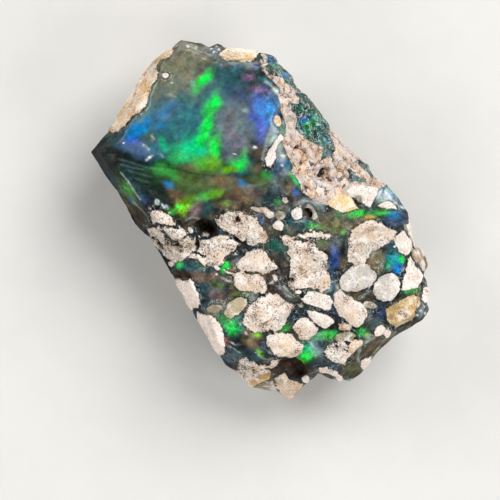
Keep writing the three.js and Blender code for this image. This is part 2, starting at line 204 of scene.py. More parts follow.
# Clasts cut by the show face: paint, how porous, outline.
CLASTS = (
    ("cream", 0.6, ((152, 211), (160, 210), (168, 215), (174, 220), (178, 226), (172, 226),
        (166, 224), (160, 226), (154, 225), (151, 219))),
    ("cream", 0.9, ((146, 229), (156, 226), (163, 229), (171, 226), (180, 227), (187, 233),
        (192, 240), (197, 237), (201, 240), (208, 240), (216, 236), (224, 235), (232, 240),
        (240, 243), (237, 248), (231, 253), (226, 256), (223, 262), (219, 266), (212, 268),
        (206, 265), (201, 258), (193, 258), (187, 258), (180, 261), (172, 262), (166, 258),
        (161, 253), (156, 248), (151, 240))),
    ("chalk", 0.3, ((165, 228), (172, 226), (180, 230), (186, 236), (181, 239), (174, 240),
        (168, 234))),
    ("cream", 0.8, ((215, 219), (222, 216), (228, 212), (235, 213), (243, 215), (250, 215),
        (256, 219), (261, 226), (263, 232), (261, 238), (256, 244), (250, 245), (244, 243),
        (238, 238), (230, 233), (222, 229), (217, 224))),
    ("cream", 0.7, ((237, 264), (242, 258), (247, 252), (254, 249), (262, 250), (267, 254),
        (272, 260), (278, 266), (276, 270), (269, 272), (262, 274), (255, 272), (247, 271),
        (240, 270))),
    ("cream", 0.6, ((233, 278), (236, 273), (243, 272), (250, 274), (257, 274), (264, 277),
        (266, 282), (268, 288), (264, 293), (256, 292), (247, 291), (240, 290), (234, 286),
        (235, 282))),
    ("cream", 0.8, ((280, 237), (285, 235), (290, 238), (293, 241), (300, 241), (306, 243),
        (313, 243), (317, 246), (319, 250), (323, 252), (327, 254), (327, 262), (328, 270),
        (330, 278), (331, 285), (326, 289), (322, 293), (317, 289), (309, 288), (300, 288),
        (291, 288), (288, 284), (290, 275), (290, 266), (291, 258), (288, 252), (288, 246),
        (284, 243))),
    ("cream", 0.6, ((293, 238), (300, 235), (308, 233), (315, 231), (321, 232), (328, 235),
        (332, 237), (325, 239), (316, 239), (308, 240), (299, 239))),
    ("cream", 0.8, ((242, 320), (247, 312), (248, 306), (253, 303), (258, 298), (264, 297),
        (270, 293), (277, 294), (283, 299), (288, 303), (294, 305), (292, 311), (287, 316),
        (285, 322), (281, 327), (276, 330), (268, 330), (261, 331), (254, 332), (248, 328),
        (243, 324))),
    ("olive", 0.2, ((224, 311), (227, 304), (233, 300), (240, 297), (246, 299), (246, 305),
        (243, 310), (238, 315), (231, 318), (226, 316))),
    ("pink", 0.05, ((166, 281), (176, 279), (183, 281), (190, 278), (194, 282), (196, 288),
        (198, 295), (200, 303), (198, 309), (193, 308), (188, 316), (178, 306), (170, 292))),
    ("pink", 0.3, ((196, 313), (202, 315), (209, 316), (215, 318), (219, 323), (222, 330),
        (225, 337), (225, 345), (223, 356), (214, 356), (203, 338), (197, 324))),
    ("cream", 0.5, ((267, 336), (275, 332), (284, 332), (292, 334), (297, 340), (303, 344),
        (303, 351), (298, 356), (291, 359), (284, 357), (276, 356), (271, 350), (267, 343))),
    ("cream", 0.9, ((239, 359), (245, 360), (251, 363), (258, 365), (264, 367), (269, 371),
        (269, 376), (261, 376), (254, 379), (250, 384), (246, 392), (234, 384), (232, 374),
        (239, 368))),
    ("ochre", 0.1, ((246, 383), (252, 379), (260, 375), (268, 370), (271, 374), (268, 380),
        (260, 385), (251, 389), (246, 388))),
    ("drab", 0.3, ((256, 388), (265, 384), (272, 382), (277, 388), (276, 396), (266, 398),
        (256, 396))),
    ("cream", 0.5, ((268, 368), (271, 362), (277, 360), (284, 361), (287, 364), (280, 365),
        (274, 367), (271, 370))),
    ("peach", 0.3, ((274, 379), (281, 376), (286, 373), (290, 380), (297, 383), (303, 386),
        (303, 394), (294, 406), (284, 402), (278, 390))),
    ("chalk", 0.0, ((302, 379), (306, 377), (310, 379), (308, 383), (303, 383))),
    ("tan", 0.1, ((299, 392), (304, 388), (308, 390), (303, 396))),
    ("pink", 0.4, ((318, 369), (324, 367), (331, 368), (337, 372), (344, 379), (339, 384),
        (335, 377), (327, 374), (320, 374))),
    ("drab", 0.5, ((333, 337), (341, 333), (350, 332), (356, 336), (351, 342), (345, 341),
        (338, 342))),
    ("chalk", 0.8, ((325, 352), (328, 346), (333, 343), (338, 341), (345, 341), (347, 345),
        (348, 350), (352, 355), (348, 358), (345, 366), (338, 363), (330, 360), (327, 357))),
    ("peach", 0.4, ((348, 346), (352, 341), (362, 340), (362, 345), (356, 350), (352, 355),
        (349, 350))),
    ("pink", 0.1, ((362, 367), (363, 361), (367, 359), (374, 357), (372, 364), (366, 374))),
    ("tan", 0.4, ((338, 324), (343, 322), (350, 325), (352, 329), (344, 331), (339, 329))),
    ("cream", 0.4, ((292, 327), (296, 321), (302, 318), (309, 320), (313, 325), (319, 329),
        (316, 333), (311, 336), (308, 340), (301, 339), (297, 334))),
    ("chalk", 0.1, ((306, 310), (313, 311), (321, 313), (328, 315), (333, 318), (334, 322),
        (330, 326), (325, 329), (319, 326), (313, 322), (309, 317))),
    ("chalk", 0.2, ((301, 300), (306, 295), (308, 291), (315, 291), (323, 294), (330, 297),
        (333, 303), (330, 309), (323, 309), (315, 306), (307, 303))),
    ("cream", 0.5, ((334, 305), (334, 297), (336, 291), (340, 289), (344, 294), (350, 296),
        (356, 301), (361, 304), (366, 310), (366, 317), (363, 324), (357, 328), (350, 324),
        (343, 319), (338, 313))),
    ("ash", 0.15, ((339, 281), (341, 276), (346, 271), (352, 268), (360, 266), (368, 267),
        (374, 270), (377, 275), (375, 280), (370, 285), (363, 289), (355, 292), (347, 292),
        (341, 287))),
    ("ash", 0.1, ((373, 291), (374, 284), (378, 278), (384, 274), (391, 273), (397, 276),
        (399, 282), (399, 289), (395, 296), (390, 301), (384, 302), (378, 299), (375, 295))),
    ("cream", 0.7, ((347, 255), (348, 246), (349, 238), (352, 230), (359, 225), (366, 221),
        (373, 220), (380, 223), (388, 228), (398, 231), (392, 237), (386, 243), (378, 249),
        (370, 253), (367, 260), (363, 267), (357, 267), (351, 263), (348, 260))),
    ("chalk", 0.3, ((393, 239), (398, 233), (403, 231), (407, 234), (412, 240), (412, 248),
        (409, 253), (405, 257), (399, 252), (395, 245))),
    ("pink", 0.3, ((410, 255), (413, 262), (418, 269), (425, 275), (421, 282), (418, 287),
        (409, 289), (401, 291), (402, 283), (404, 274), (406, 266), (408, 260))),
    ("ochre", 0.5, ((386, 311), (390, 306), (397, 302), (402, 298), (408, 296), (413, 295),
        (420, 296), (420, 304), (416, 310), (415, 316), (409, 322), (402, 325), (397, 328),
        (391, 325), (387, 319))),
    ("straw", 0.1, ((326, 202), (331, 197), (338, 194), (345, 195), (352, 198), (355, 203),
        (358, 209), (351, 211), (343, 213), (335, 209), (329, 206))),
    ("white", 0.1, ((347, 190), (351, 186), (358, 185), (366, 186), (374, 186), (379, 188),
        (378, 195), (374, 201), (370, 208), (364, 204), (358, 200), (352, 197), (349, 193))),
    # this small white patch is partly a glossy white fragment and partly a painted glint
    ("white", 0.05, ((378, 206), (384, 202), (391, 201), (397, 205), (398, 209), (388, 209))),
    ("pink", 0.3, ((265, 160), (269, 151), (273, 143), (277, 138), (281, 135), (284, 140),
        (279, 145), (276, 151), (276, 158), (274, 165), (270, 168), (266, 167))),
    ("peach", 0.35, ((170, 42), (173, 51), (171, 56), (166, 59), (160, 60), (158, 66), (157, 72),
        (156, 79), (152, 86), (149, 95), (148, 104), (143, 109), (136, 114), (131, 119),
        (127, 124), (121, 128), (114, 132), (106, 128), (112, 112), (124, 92), (132, 74),
        (148, 54))),
    ("straw", 0.5, ((223, 50), (230, 42), (256, 44), (260, 51), (256, 57), (251, 61), (243, 62),
        (236, 60), (229, 61), (222, 58), (219, 54))),
    ("tan", 0.2, ((249, 208), (258, 208), (266, 207), (270, 211), (266, 214), (256, 213))),
    ("cream", 0.5, ((280, 237), (286, 234), (291, 238), (289, 243), (284, 244))),
    ("tan", 0.3, ((260, 232), (266, 231), (269, 237), (265, 243), (259, 242))),
    ("umber", 0.1, ((412, 250), (420, 246), (432, 256), (436, 266), (428, 274), (420, 267),
        (413, 257))),
    ("chalk", 0.1, ((406, 225), (411, 222), (420, 240), (417, 247), (411, 236))),
    ("pink", 0.3, ((423, 292), (426, 287), (436, 288), (434, 301), (426, 303), (422, 299))),
)
# Small rounded clasts: paint, x, y, half length, half width, turn.
PEBBLES = (
    ("pink", 380, 331, 6, 4.6, -50), ("pink", 388, 334, 3.4, 4.8, 0), ("peach", 278, 122, 4, 5, 0),
    ("pink", 165, 76, 3.6, 2.6, -20), ("white", 297, 214, 5.4, 6, 0),
    ("ash", 311, 213, 4.5, 7.5, -35), ("tan", 285, 201, 3.4, 2.8, 0),
    ("cream", 269, 214, 4, 4.4, 0), ("cream", 278, 226, 6, 5, 30), ("drab", 280, 216, 6, 4, 0),
    ("white", 206, 234, 3, 2.6, 0), ("white", 209, 245, 7, 5, 20), ("ash", 191, 231, 3.4, 2.6, 60),
    ("chalk", 170, 264, 3, 2.6, 0), ("white", 203, 261, 2.4, 6, -30),
    ("white", 216, 266, 2, 5, -50), ("chalk", 229, 272, 4, 1.2, 25), ("drab", 214, 309, 8, 4, -10),
    ("ash", 264, 302, 2.5, 5, 10), ("chalk", 275, 279, 2, 4, -20), ("chalk", 359, 267, 8, 1.6, -8),
    ("drab", 369, 305, 7, 3.4, 10), ("white", 298, 292, 3, 2.2, 0),
)

# Blotches on the clasts: paint, x, y, half length, half width, turn, strength.
BLOTCHES = (
    ("white", 176, 233, 9, 5, 20, 0.9), ("olive", 188, 244, 7, 6, -20, 0.9),
    ("drab", 190, 247, 4, 3, 0, 0.6), ("ash", 163, 250, 8, 5, 30, 0.5),
    ("drab", 177, 244, 9, 5, 20, 0.7), ("white", 208, 246, 7, 5, 10, 0.7),
    ("peach", 208, 256, 12, 3, 8, 0.5), ("tan", 215, 239, 8, 3, 0, 0.5),
    ("ash", 252, 240, 10, 4, 0, 0.7), ("peach", 232, 222, 9, 4, 0, 0.25),
    ("tan", 262, 237, 4, 6, 0, 0.5), ("peach", 250, 286, 15, 5, 5, 0.6),
    ("tan", 264, 275, 4, 3, 0, 0.5), ("peach", 303, 262, 6, 14, 0, 0.7),
    ("ash", 318, 262, 7, 9, 0, 0.45), ("peach", 325, 283, 5, 8, 0, 0.5),
    ("peach", 262, 320, 12, 7, -20, 0.35), ("ash", 285, 318, 7, 6, 0, 0.5),
    ("peach", 270, 302, 10, 4, 0, 0.5), ("peach", 286, 349, 12, 7, 10, 0.5),
    ("peach", 300, 330, 8, 6, 0, 0.35), ("peach", 351, 317, 8, 6, 0, 0.4),
    ("tan", 346, 321, 5, 4, 0, 0.4), ("tan", 368, 231, 14, 7, -10, 0.5),
    ("tan", 366, 242, 20, 14, -30, 0.45), ("ash", 365, 251, 9, 6, -30, 0.85),
    ("ash", 355, 260, 5, 6, 0, 0.7), ("white", 322, 302, 9, 5, 10, 0.5),
    ("white", 325, 318, 8, 5, 20, 0.6), ("straw", 407, 303, 8, 4, -35, 0.9),
    ("straw", 396, 321, 6, 3.5, -20, 0.9), ("cream", 401, 314, 3.5, 6, 30, 0.3),
    ("umber", 391, 315, 2, 4, 20, 0.7), ("apricot", 410, 311, 4, 3, 0, 0.7),
    ("umber", 401, 307, 3, 1.4, 20, 0.6), ("tan", 402, 312, 5, 3, 40, 0.4),
    ("ochre", 395, 310, 4, 4, 0, 0.5), ("umber", 405, 315, 2.4, 1.6, 30, 0.5),
    ("umber", 411, 302, 1.6, 3, 20, 0.45), ("apricot", 258, 383, 9, 2.4, -22, 0.6),
    ("white", 335, 353, 7, 4, 0, 0.5), ("tan", 343, 344, 6, 3, -20, 0.6),
    ("ash", 247, 368, 7, 4, 10, 0.6), ("peach", 256, 371, 7, 4, 10, 0.6),
    ("cream", 288, 390, 7, 8, 0, 0.7), ("umber", 277, 381, 5, 4, 0, 0.6),
    ("tan", 297, 394, 6, 6, 0, 0.6), ("apricot", 145, 90, 4, 9, 20, 0.7),
    ("white", 152, 73, 4, 6, 10, 0.7), ("apricot", 131, 115, 7, 4, -50, 0.5),
    ("umber", 155, 62, 5, 2.5, -40, 0.5), ("apricot", 168, 54, 5, 4, -30, 0.6),
    ("white", 141, 104, 5, 5, 0, 0.4), ("apricot", 239, 57, 16, 3.6, 3, 0.6),
    ("umber", 220, 55, 3, 3, 0, 0.7), ("tan", 243, 61, 16, 2.5, 3, 0.8),
    ("ochre", 229, 55, 6, 3, 10, 0.4), ("pink", 242, 50, 20, 3.2, 3, 0.75),
    ("pink", 258, 54, 4, 5, 0, 0.7), ("straw", 343, 205, 7, 4, 10, 0.6),
    ("cream", 331, 201, 4, 4, 0, 0.5), ("tan", 418, 258, 5, 9, -20, 0.85),
    ("white", 270, 163, 5, 5, 0, 0.7), ("ash", 274, 148, 4, 9, 20, 0.4),
)
# Where the opal shows its body colour and its fire: paint, x, y, half length, half width,
# turn, strength. Later patches lie over earlier ones. A few patches are painted light or
# shade, each marked where it stands.
FIRE = (
    # the clear window
    ("glass", 178, 76, 46, 40, -30, 1.0), ("horn", 190, 50, 26, 7, 18, 0.75),
    ("glass", 150, 112, 24, 7, -48, 0.8), ("teal", 180, 122, 44, 28, 0, 0.9),
    ("smoke", 236, 125, 22, 36, 0, 0.95), ("deep_teal", 116, 140, 18, 9, -20, 0.95),
    ("deep_teal", 230, 76, 26, 12, 15, 0.75), ("teal", 214, 90, 20, 14, -30, 0.6),
    ("teal", 240, 70, 12, 5, 10, 0.6), ("navy", 238, 96, 14, 10, 0, 0.55),
    ("slate", 138, 150, 20, 9, 15, 0.85), ("teal", 160, 152, 14, 8, 15, 0.8),
    ("slate", 165, 114, 16, 9, -35, 0.7), ("azure", 140, 129, 15, 6.5, -40, 0.95),
    ("blue", 132, 142, 7, 4, -30, 0.9), ("azure", 143, 132, 5, 3, -20, 0.9),
    ("azure", 160, 126, 6, 4.5, 0, 0.5), ("azure", 165, 112, 10, 5, -35, 0.35),
    ("lavender", 140, 147, 13, 4, 20, 0.4), ("jade", 163, 144, 3.5, 7, -20, 0.75),
    ("brown", 228, 118, 7, 14, 0, 0.25), ("mauve", 233, 140, 8, 12, 0, 0.3),
    ("violet", 260, 112, 12, 16, 0, 0.7), ("sky", 267, 112, 10, 14, 5, 0.9),
    ("azure", 273, 107, 4, 9, 15, 0.7), ("violet", 261, 131, 5, 9, 5, 0.9),
    ("lavender", 262, 137, 6, 9, 0, 0.5), ("mauve", 259, 91, 9, 3.5, 10, 0.75),
    ("rust", 262, 90, 3, 1.5, 10, 0.3), ("mauve", 249, 80, 6, 3, 0, 0.5),
    ("rust", 251, 79, 2.5, 1.5, 0, 0.35), ("lavender", 268, 96, 6, 5, 30, 0.6),
    # the haze patch at 277, 92 is a painted highlight on the window's rim
    ("haze", 245, 111, 4, 2.5, 20, 0.5), ("haze", 277, 92, 3, 5, -25, 0.7),
    ("teal", 265, 82, 8, 3, 20, 0.7), ("green", 205, 80, 11, 5.2, -33, 1.0),
    ("leaf", 196, 92, 3.5, 5, 0, 0.8), ("jade", 192, 150, 19, 12, -10, 0.95),
    ("leaf", 178, 158, 12, 8, -10, 0.5), ("leaf", 211, 112, 5.5, 15, 14, 0.75),
    ("green", 214, 104, 5, 8, 15, 1.0), ("green", 207, 126, 6, 12, 16, 0.95),
    ("green", 202, 141, 6, 10, 25, 0.85), ("leaf", 214, 148, 7, 17, 0, 0.85),
    ("green", 215, 150, 4.5, 9, 0, 0.95), ("lime", 209, 165, 13, 7, 0, 0.7),
    ("leaf", 200, 164, 8, 7, 0, 0.6), ("khaki", 191, 168, 9, 4, 0, 0.6),
    ("green", 240, 166, 9, 6.5, -15, 0.95), ("lime", 227, 171, 8, 3.4, -8, 0.95),
    ("leaf", 245, 157, 3, 8, 0, 0.6), ("khaki", 254, 170, 7, 6, 0, 0.5),
    # the window's foot, down to the clasts
    ("black", 118, 156, 26, 6, 20, 0.85), ("bottle", 150, 180, 40, 15, 18, 0.95),
    # the black patch at 102, 149 is a painted shadow round the stone's left tip
    ("black", 102, 149, 12, 9, 0, 1.0), ("moss", 200, 184, 34, 12, 5, 0.85),
    ("moss", 262, 182, 20, 7, 0, 0.7), ("deep_teal", 262, 199, 14, 8, 5, 0.9),
    ("leaf", 165, 171, 14, 6, 15, 0.6), ("black", 158, 192, 18, 7, 20, 0.6),
    ("azure", 170, 186, 5, 3.5, 30, 0.8), ("brown", 180, 197, 12, 7, 30, 0.8),
    ("khaki", 222, 182, 17, 6, 0, 0.85), ("brown", 242, 195, 18, 9, 5, 0.85),
    ("khaki", 250, 203, 10, 4, 0, 0.6), ("azure", 243, 184, 7, 3, 25, 0.7),
    ("leaf", 268, 176, 6, 3.5, 10, 0.8), ("smoke", 277, 186, 8, 8, 0, 0.6),
    ("khaki", 288, 188, 5, 6, 0, 0.5), ("leaf", 279, 202, 4, 4, 0, 0.5),
    ("lime", 189, 203, 9, 6, -25, 0.85), ("lime", 183, 208, 6, 7, -35, 0.8),
    ("green", 180, 206, 4, 3, 0, 0.7), ("leaf", 204, 196, 9, 4, -10, 0.7),
    ("lime", 216, 193, 9, 3, -15, 0.65), ("deep_teal", 206, 209, 10, 9, 30, 0.95),
    ("mauve", 195, 209, 6, 8, 0, 0.5), ("brown", 195, 210, 7, 9, 0, 0.5),
    ("leaf", 171, 211, 5, 3, 25, 0.85), ("khaki", 228, 207, 12, 4, 5, 0.7),
    ("lime", 226, 203, 5, 2.5, 10, 0.4), ("blue", 296, 192, 4, 4, 0, 0.6),
    ("azure", 285, 165, 8, 6, 10, 0.5), ("sea", 289, 167, 4, 5, 0, 0.5),
    ("haze", 284, 158, 5, 4, -20, 0.7), ("slate", 277, 172, 9, 5, 0, 0.5),
    ("jade", 298, 182, 10, 2.6, 48, 0.5), ("haze", 284, 172, 6, 5, 0, 0.3),
    ("haze", 279, 143, 5, 16, 10, 0.7), ("frost", 274, 134, 4, 12, 12, 0.5),
    ("haze", 282, 128, 3, 8, 10, 0.5), ("khaki", 293, 228, 9, 4, 0, 0.7),
    ("drab", 284, 210, 8, 6, 0, 0.6),
    # the band of clear opal along the clasts, to the right end
    ("deep_teal", 302, 224, 22, 8, 0, 0.8), ("teal", 306, 221, 6, 4, 0, 0.8),
    ("green", 315, 227, 7, 3, 5, 0.75), ("leaf", 338, 217, 6, 3, 0, 0.5),
    ("khaki", 334, 224, 20, 9, 5, 0.75), ("moss", 330, 228, 12, 6, 5, 0.5),
    ("drab", 322, 246, 7, 6, 0, 0.5), ("haze", 310, 205, 14, 7, 5, 0.6),
    ("leaf", 358, 213, 14, 4.5, 8, 0.85), ("green", 360, 213, 8, 2.6, 10, 0.85),
    ("amber", 371, 216.5, 6, 2, 5, 0.85), ("leaf", 385, 212, 10, 4, 0, 0.8),
    ("azure", 397, 215, 9, 5, 20, 0.85), ("ink", 394, 224, 8, 5, 20, 0.8),
    ("plum", 404, 215, 5, 8, 0, 0.85), ("slate", 391, 221, 6, 4, 0, 0.6),
    ("slate", 390, 194, 17, 9, 42, 0.9), ("frost", 384, 195, 9, 6, -60, 0.7),
    ("haze", 394, 196, 9, 6, 45, 0.6), ("cyan", 392, 191, 7, 3, 45, 0.45),
    ("frost", 376, 181, 6, 3, 20, 0.6), ("teal", 400, 208, 5, 3, 0, 0.8),
    ("leaf", 344, 233, 3, 3, 0, 0.6), ("moss", 322, 243, 5, 5, 0, 0.6),
    # left flank: its black and bark patches are partly the opal's dark body and partly painted
    # shade
    ("black", 104, 163, 8, 19, -35, 1.0), ("ink", 111, 178, 3.5, 9, -35, 0.6),
    ("moss", 127, 190, 6, 13, -35, 0.9), ("leaf", 128, 189, 3, 7, -35, 0.6),
    ("teal", 131, 202, 3, 5, -35, 0.7), ("bark", 138, 218, 11, 12, -20, 1.0),
    # between the clasts
    ("sea", 273, 244, 15, 8, 25, 0.95), ("slate", 262, 222, 4, 7, -20, 0.6),
    ("khaki", 263, 237, 5, 8, 0, 0.75), ("black", 280, 256, 7, 5, 0, 0.7),
    ("black", 243, 250, 18, 4, -15, 0.8), ("smoke", 236, 262, 4, 5, 0, 0.7),
    ("deep_teal", 186, 268, 20, 5, 5, 0.8), ("green", 180, 266, 4, 3.4, 10, 0.95),
    ("teal", 194, 267, 12, 4, 0, 0.75), ("moss", 200, 265, 5, 4, 0, 0.6),
    ("green", 226, 265, 3.5, 5, 15, 0.95), ("rust", 233, 270, 2.5, 2, 0, 0.9),
    ("brown", 200, 276, 12, 6, 15, 0.8), ("brown", 217, 276, 9, 6, 0, 0.7),
    ("moss", 217, 285, 8, 5, 0, 0.7), ("deep_teal", 205, 290, 8, 8, 0, 0.8),
    ("mauve", 216, 295, 10, 6, 10, 0.15), ("brown", 216, 297, 10, 7, 10, 0.6),
    ("moss", 243, 294, 12, 2.5, 5, 0.8), ("haze", 215, 308, 9, 6, 0, 0.6),
    ("black", 279, 268, 7, 13, -20, 0.9), ("plum", 278, 284, 9, 12, -10, 0.9),
    ("ink", 333, 268, 6, 14, 0, 1.0), ("lavender", 333, 251, 4, 5, 0, 0.45),
    ("haze", 337, 243, 7, 5, 0, 0.5), ("blue", 334, 261, 4, 7, 0, 0.7),
    ("azure", 332, 283, 3, 6, 0, 0.5), ("teal", 331, 289, 3, 4, 0, 0.7),
    ("khaki", 376, 262, 10, 9, 0, 0.8), ("teal", 393, 258, 9, 10, 30, 0.95),
    ("electric", 397, 268, 5, 5, -20, 0.9), ("cyan", 392, 261, 7, 6, -40, 0.95),
    ("jade", 387, 265, 2.5, 5, 40, 0.9), ("green", 402, 260, 3, 3, 0, 0.9),
    ("ink", 386, 247, 7, 4, -30, 0.9), ("leaf", 413, 291, 8, 2.5, -10, 0.7),
    ("green", 408, 292, 4, 2, 0, 0.7), ("ink", 375, 312, 9, 12, 0, 0.9),
    ("bark", 366, 300, 8, 5, 30, 0.8), ("teal", 234, 324, 12, 12, 0, 0.6),
    ("green", 232, 327, 6.5, 7, 10, 0.8), ("leaf", 228, 319, 7, 7, 0, 0.5),
    ("rust", 226, 341, 2, 4, 0, 0.9), ("khaki", 252, 340, 10, 8, 0, 0.8),
    ("lime", 258, 334, 3.5, 2.5, 0, 0.85), ("lime", 261, 352, 5, 3, 30, 0.8),
    ("deep_teal", 240, 355, 14, 6, 15, 0.8), ("leaf", 284, 328, 6, 3.5, -20, 0.9),
    ("leaf", 323, 336, 12, 4, -10, 0.85), ("green", 332, 332, 5, 3, -20, 0.6),
    ("jade", 306, 350, 7, 8, -20, 0.8), ("green", 304, 357, 8, 6, -40, 0.95),
    ("lime", 299, 363, 6, 3, -15, 0.85), ("haze", 316, 348, 8, 12, 10, 0.55),
    ("teal", 316, 345, 8, 10, 0, 0.4), ("green", 360, 330, 4, 5, 20, 0.8),
    ("lime", 367, 333, 3, 2, 0, 0.9), ("deep_teal", 375, 326, 12, 6, 0, 0.6),
    ("humus", 376, 350, 28, 10, -45, 1.0), ("humus", 353, 368, 16, 13, -30, 1.0),
    ("khaki", 372, 347, 14, 3, -42, 0.4), ("moss", 352, 370, 10, 6, -30, 0.3),
    ("horn", 366, 341, 12, 2.4, -40, 0.6), ("haze", 368, 335, 7, 3, 0, 0.4),
    ("haze", 423, 309, 6, 9, 10, 0.45), ("black", 402, 327, 14, 5, -20, 0.9),
    ("navy", 381, 316, 4, 6, 0, 0.6), ("black", 418, 309, 3, 8, 25, 0.8),
    ("bark", 283, 372, 16, 8, -10, 0.95), ("bark", 300, 372, 14, 9, 30, 0.9),
    ("bark", 281, 362, 12, 4, 5, 0.9), ("brown", 268, 384, 20, 10, 10, 0.8),
    ("bark", 236, 366, 8, 8, 0, 0.8), ("smoke", 232, 358, 8, 6, 0, 0.5),
    ("bark", 320, 379, 18, 4, 10, 0.9),
    # the glassy sand's fire
    ("bottle", 270, 66, 16, 11, 30, 1.0), ("ink", 269, 61, 7, 9, 0, 1.0),
    ("blue", 271, 61, 3.6, 5, -20, 1.0), ("jade", 275, 69, 6, 3.5, 30, 0.8),
    ("sea", 281, 71, 9, 5, 40, 0.8), ("electric", 285, 74, 4.5, 4, 20, 0.95),
    ("sea", 292, 86, 5, 8, -20, 0.9), ("sea", 314, 122, 26, 34, 40, 0.9),
    ("bottle", 308, 108, 9, 7, 40, 0.8), ("teal", 312, 116, 7, 4, 20, 0.8),
    ("blue", 302, 121, 6, 4.5, 0, 1.0), ("green", 307, 126, 5, 3.4, 20, 1.0),
    ("jade", 316, 120, 5, 4, 0, 0.6), ("teal", 322, 136, 10, 6, 40, 0.6),
    ("ink", 326, 153, 7, 5, 0, 0.7), ("haze", 362, 172, 16, 12, 40, 0.75),
    ("black", 368, 172, 3, 6, -30, 0.6), ("haze", 328, 152, 12, 8, 35, 0.6),
    ("haze", 233, 65, 15, 3.5, -4, 0.5), ("haze", 252, 66, 8, 5, 20, 0.5),
    ("lavender", 256, 68, 4, 4, 0, 0.7), ("smoke", 214, 50, 8, 6, 10, 0.8),
    ("black", 262, 76, 5, 3, 20, 0.6),
)
# Granular matrix on the sandy slope, and on it the sand that clear opal soaked.
SAND = (
    (258, 52), (260, 66), (266, 77), (276, 84), (281, 92), (278, 104), (281, 112), (284, 122),
    (285, 137), (282, 144), (285, 153), (289, 161), (291, 173), (297, 184), (304, 194), (312, 200),
    (318, 205), (326, 206), (345, 200), (374, 196), (388, 184), (400, 180), (370, 140), (345, 120),
    (325, 100), (305, 82), (285, 56), (268, 44),
)
GLASSY_SAND = (
    ((263, 54), (264, 42), (284, 44), (300, 60), (306, 78), (316, 99), (333, 118), (330, 126),
        (334, 146), (330, 160), (320, 160), (322, 148), (312, 145), (306, 140), (300, 133),
        (295, 130), (296, 118), (290, 114), (291, 106), (298, 104), (298, 94), (288, 84),
        (281, 78), (273, 77), (266, 72), (262, 63)),
    ((360, 158), (368, 162), (376, 172), (378, 180), (371, 179), (364, 170), (358, 165)),
    ((345, 168), (351, 169), (357, 175), (366, 179), (364, 183), (354, 181), (348, 176)),
)
# The smooth split that shines: the window and its foot, an oval.
SMOOTH_BREAK = (188, 128, 100, 72, 25)
# Deep pits: x, y, half length, half width, turn. The skin sinks in them, and their colour is
# painted shade: near-black, in a brown rim that is partly the stone's own brown and partly
# painted shade.
PITS = (
    (206, 229, 11, 4.5, 18), (200, 227, 5, 3, 0), (299, 371, 9, 5, 35), (288, 364, 13, 3.2, 14),
    (308, 212, 3.2, 6.2, -35), (238, 220, 2.4, 3, 0), (237, 240, 4, 2, 30),
    (322, 173, 4.6, 2.6, -50), (328, 178, 4, 1.8, 20), (317, 164, 4, 1.4, -50),
    (312, 166, 1.6, 2.4, 0), (299, 147, 3.4, 1.8, -60), (301, 164, 1.4, 2.6, 30),
    (307, 186, 1.6, 2.6, -30), (182, 277, 8, 2.6, -5), (292, 281, 2.4, 3, 0), (197, 243, 2, 3.4, 0),
    (178, 246, 6, 2, 20), (168, 244, 4, 2.2, 20), (181, 252, 2.6, 2, 0), (356, 202, 4, 1.8, 40),
    (272, 288, 3, 7, -35), (304, 151, 1, 6, -50), (333, 160, 1, 5, -40), (349, 162, 1, 5, -45),
    (344, 186, 1, 3, 30),
)
# White specks: x, y, radius. They are partly white grains and partly painted glints.
SPECKS_AND_GLINTS = (
    (188, 47, 1.3), (196, 47, 1.4), (255, 148, 1.6), (124, 144, 0.7), (150, 157, 1.1),
    (273, 281, 1.4), (270, 285, 1.2), (350, 256, 1.2), (283, 157, 1.8), (282, 166, 1.3),
    (217, 274, 1.2), (246, 333, 1.4), (300, 306, 1.5), (266, 58, 1.3), (273, 55, 1.2),
    (265, 66, 1.5), (277, 63, 1.2), (264, 72, 1.4), (281, 66, 1.2), (273, 72, 1.7), (278, 68, 1.2),
    (270, 75, 1.4), (288, 71, 1.3), (291, 78, 1.3), (279, 76, 1.2), (262, 61, 1.3), (268, 70, 1.1),
    (212, 48, 1.2), (217, 46, 1.2), (214, 52, 1.0), (219, 49, 1.0), (235, 155, 1.0), (205, 60, 1.0),
    (172, 84, 1.0), (421, 303, 1.2), (425, 307, 1.0), (421, 311, 1.1), (426, 313, 1.0),
    (418, 316, 1.2), (412, 321, 1.0), (405, 324, 1.2), (397, 328, 1.0),
)
# Cracks through the clasts: half width in squares, points.
CRACKS = (
    (1.6, ((147, 227), (158, 225), (166, 226), (178, 228))),
    (1.2, ((161, 228), (166, 236), (173, 243))),
    (1.6, ((197, 238), (199, 245), (196, 252))),
    (1.2, ((236, 254), (241, 247), (246, 239))),
    (1.2, ((188, 236), (181, 241), (174, 242), (166, 240))),
    (0.9, ((151, 237), (157, 240), (162, 247))),
    (0.9, ((187, 258), (192, 252), (199, 253), (205, 257))),
    (0.7, ((296, 238), (304, 240), (316, 238), (328, 238))),
    (0.5, ((333, 344), (342, 347), (349, 353))),
    (0.7, ((240, 366), (250, 369), (258, 376))),
    (1.2, ((335, 180), (342, 186), (347, 180))),
)
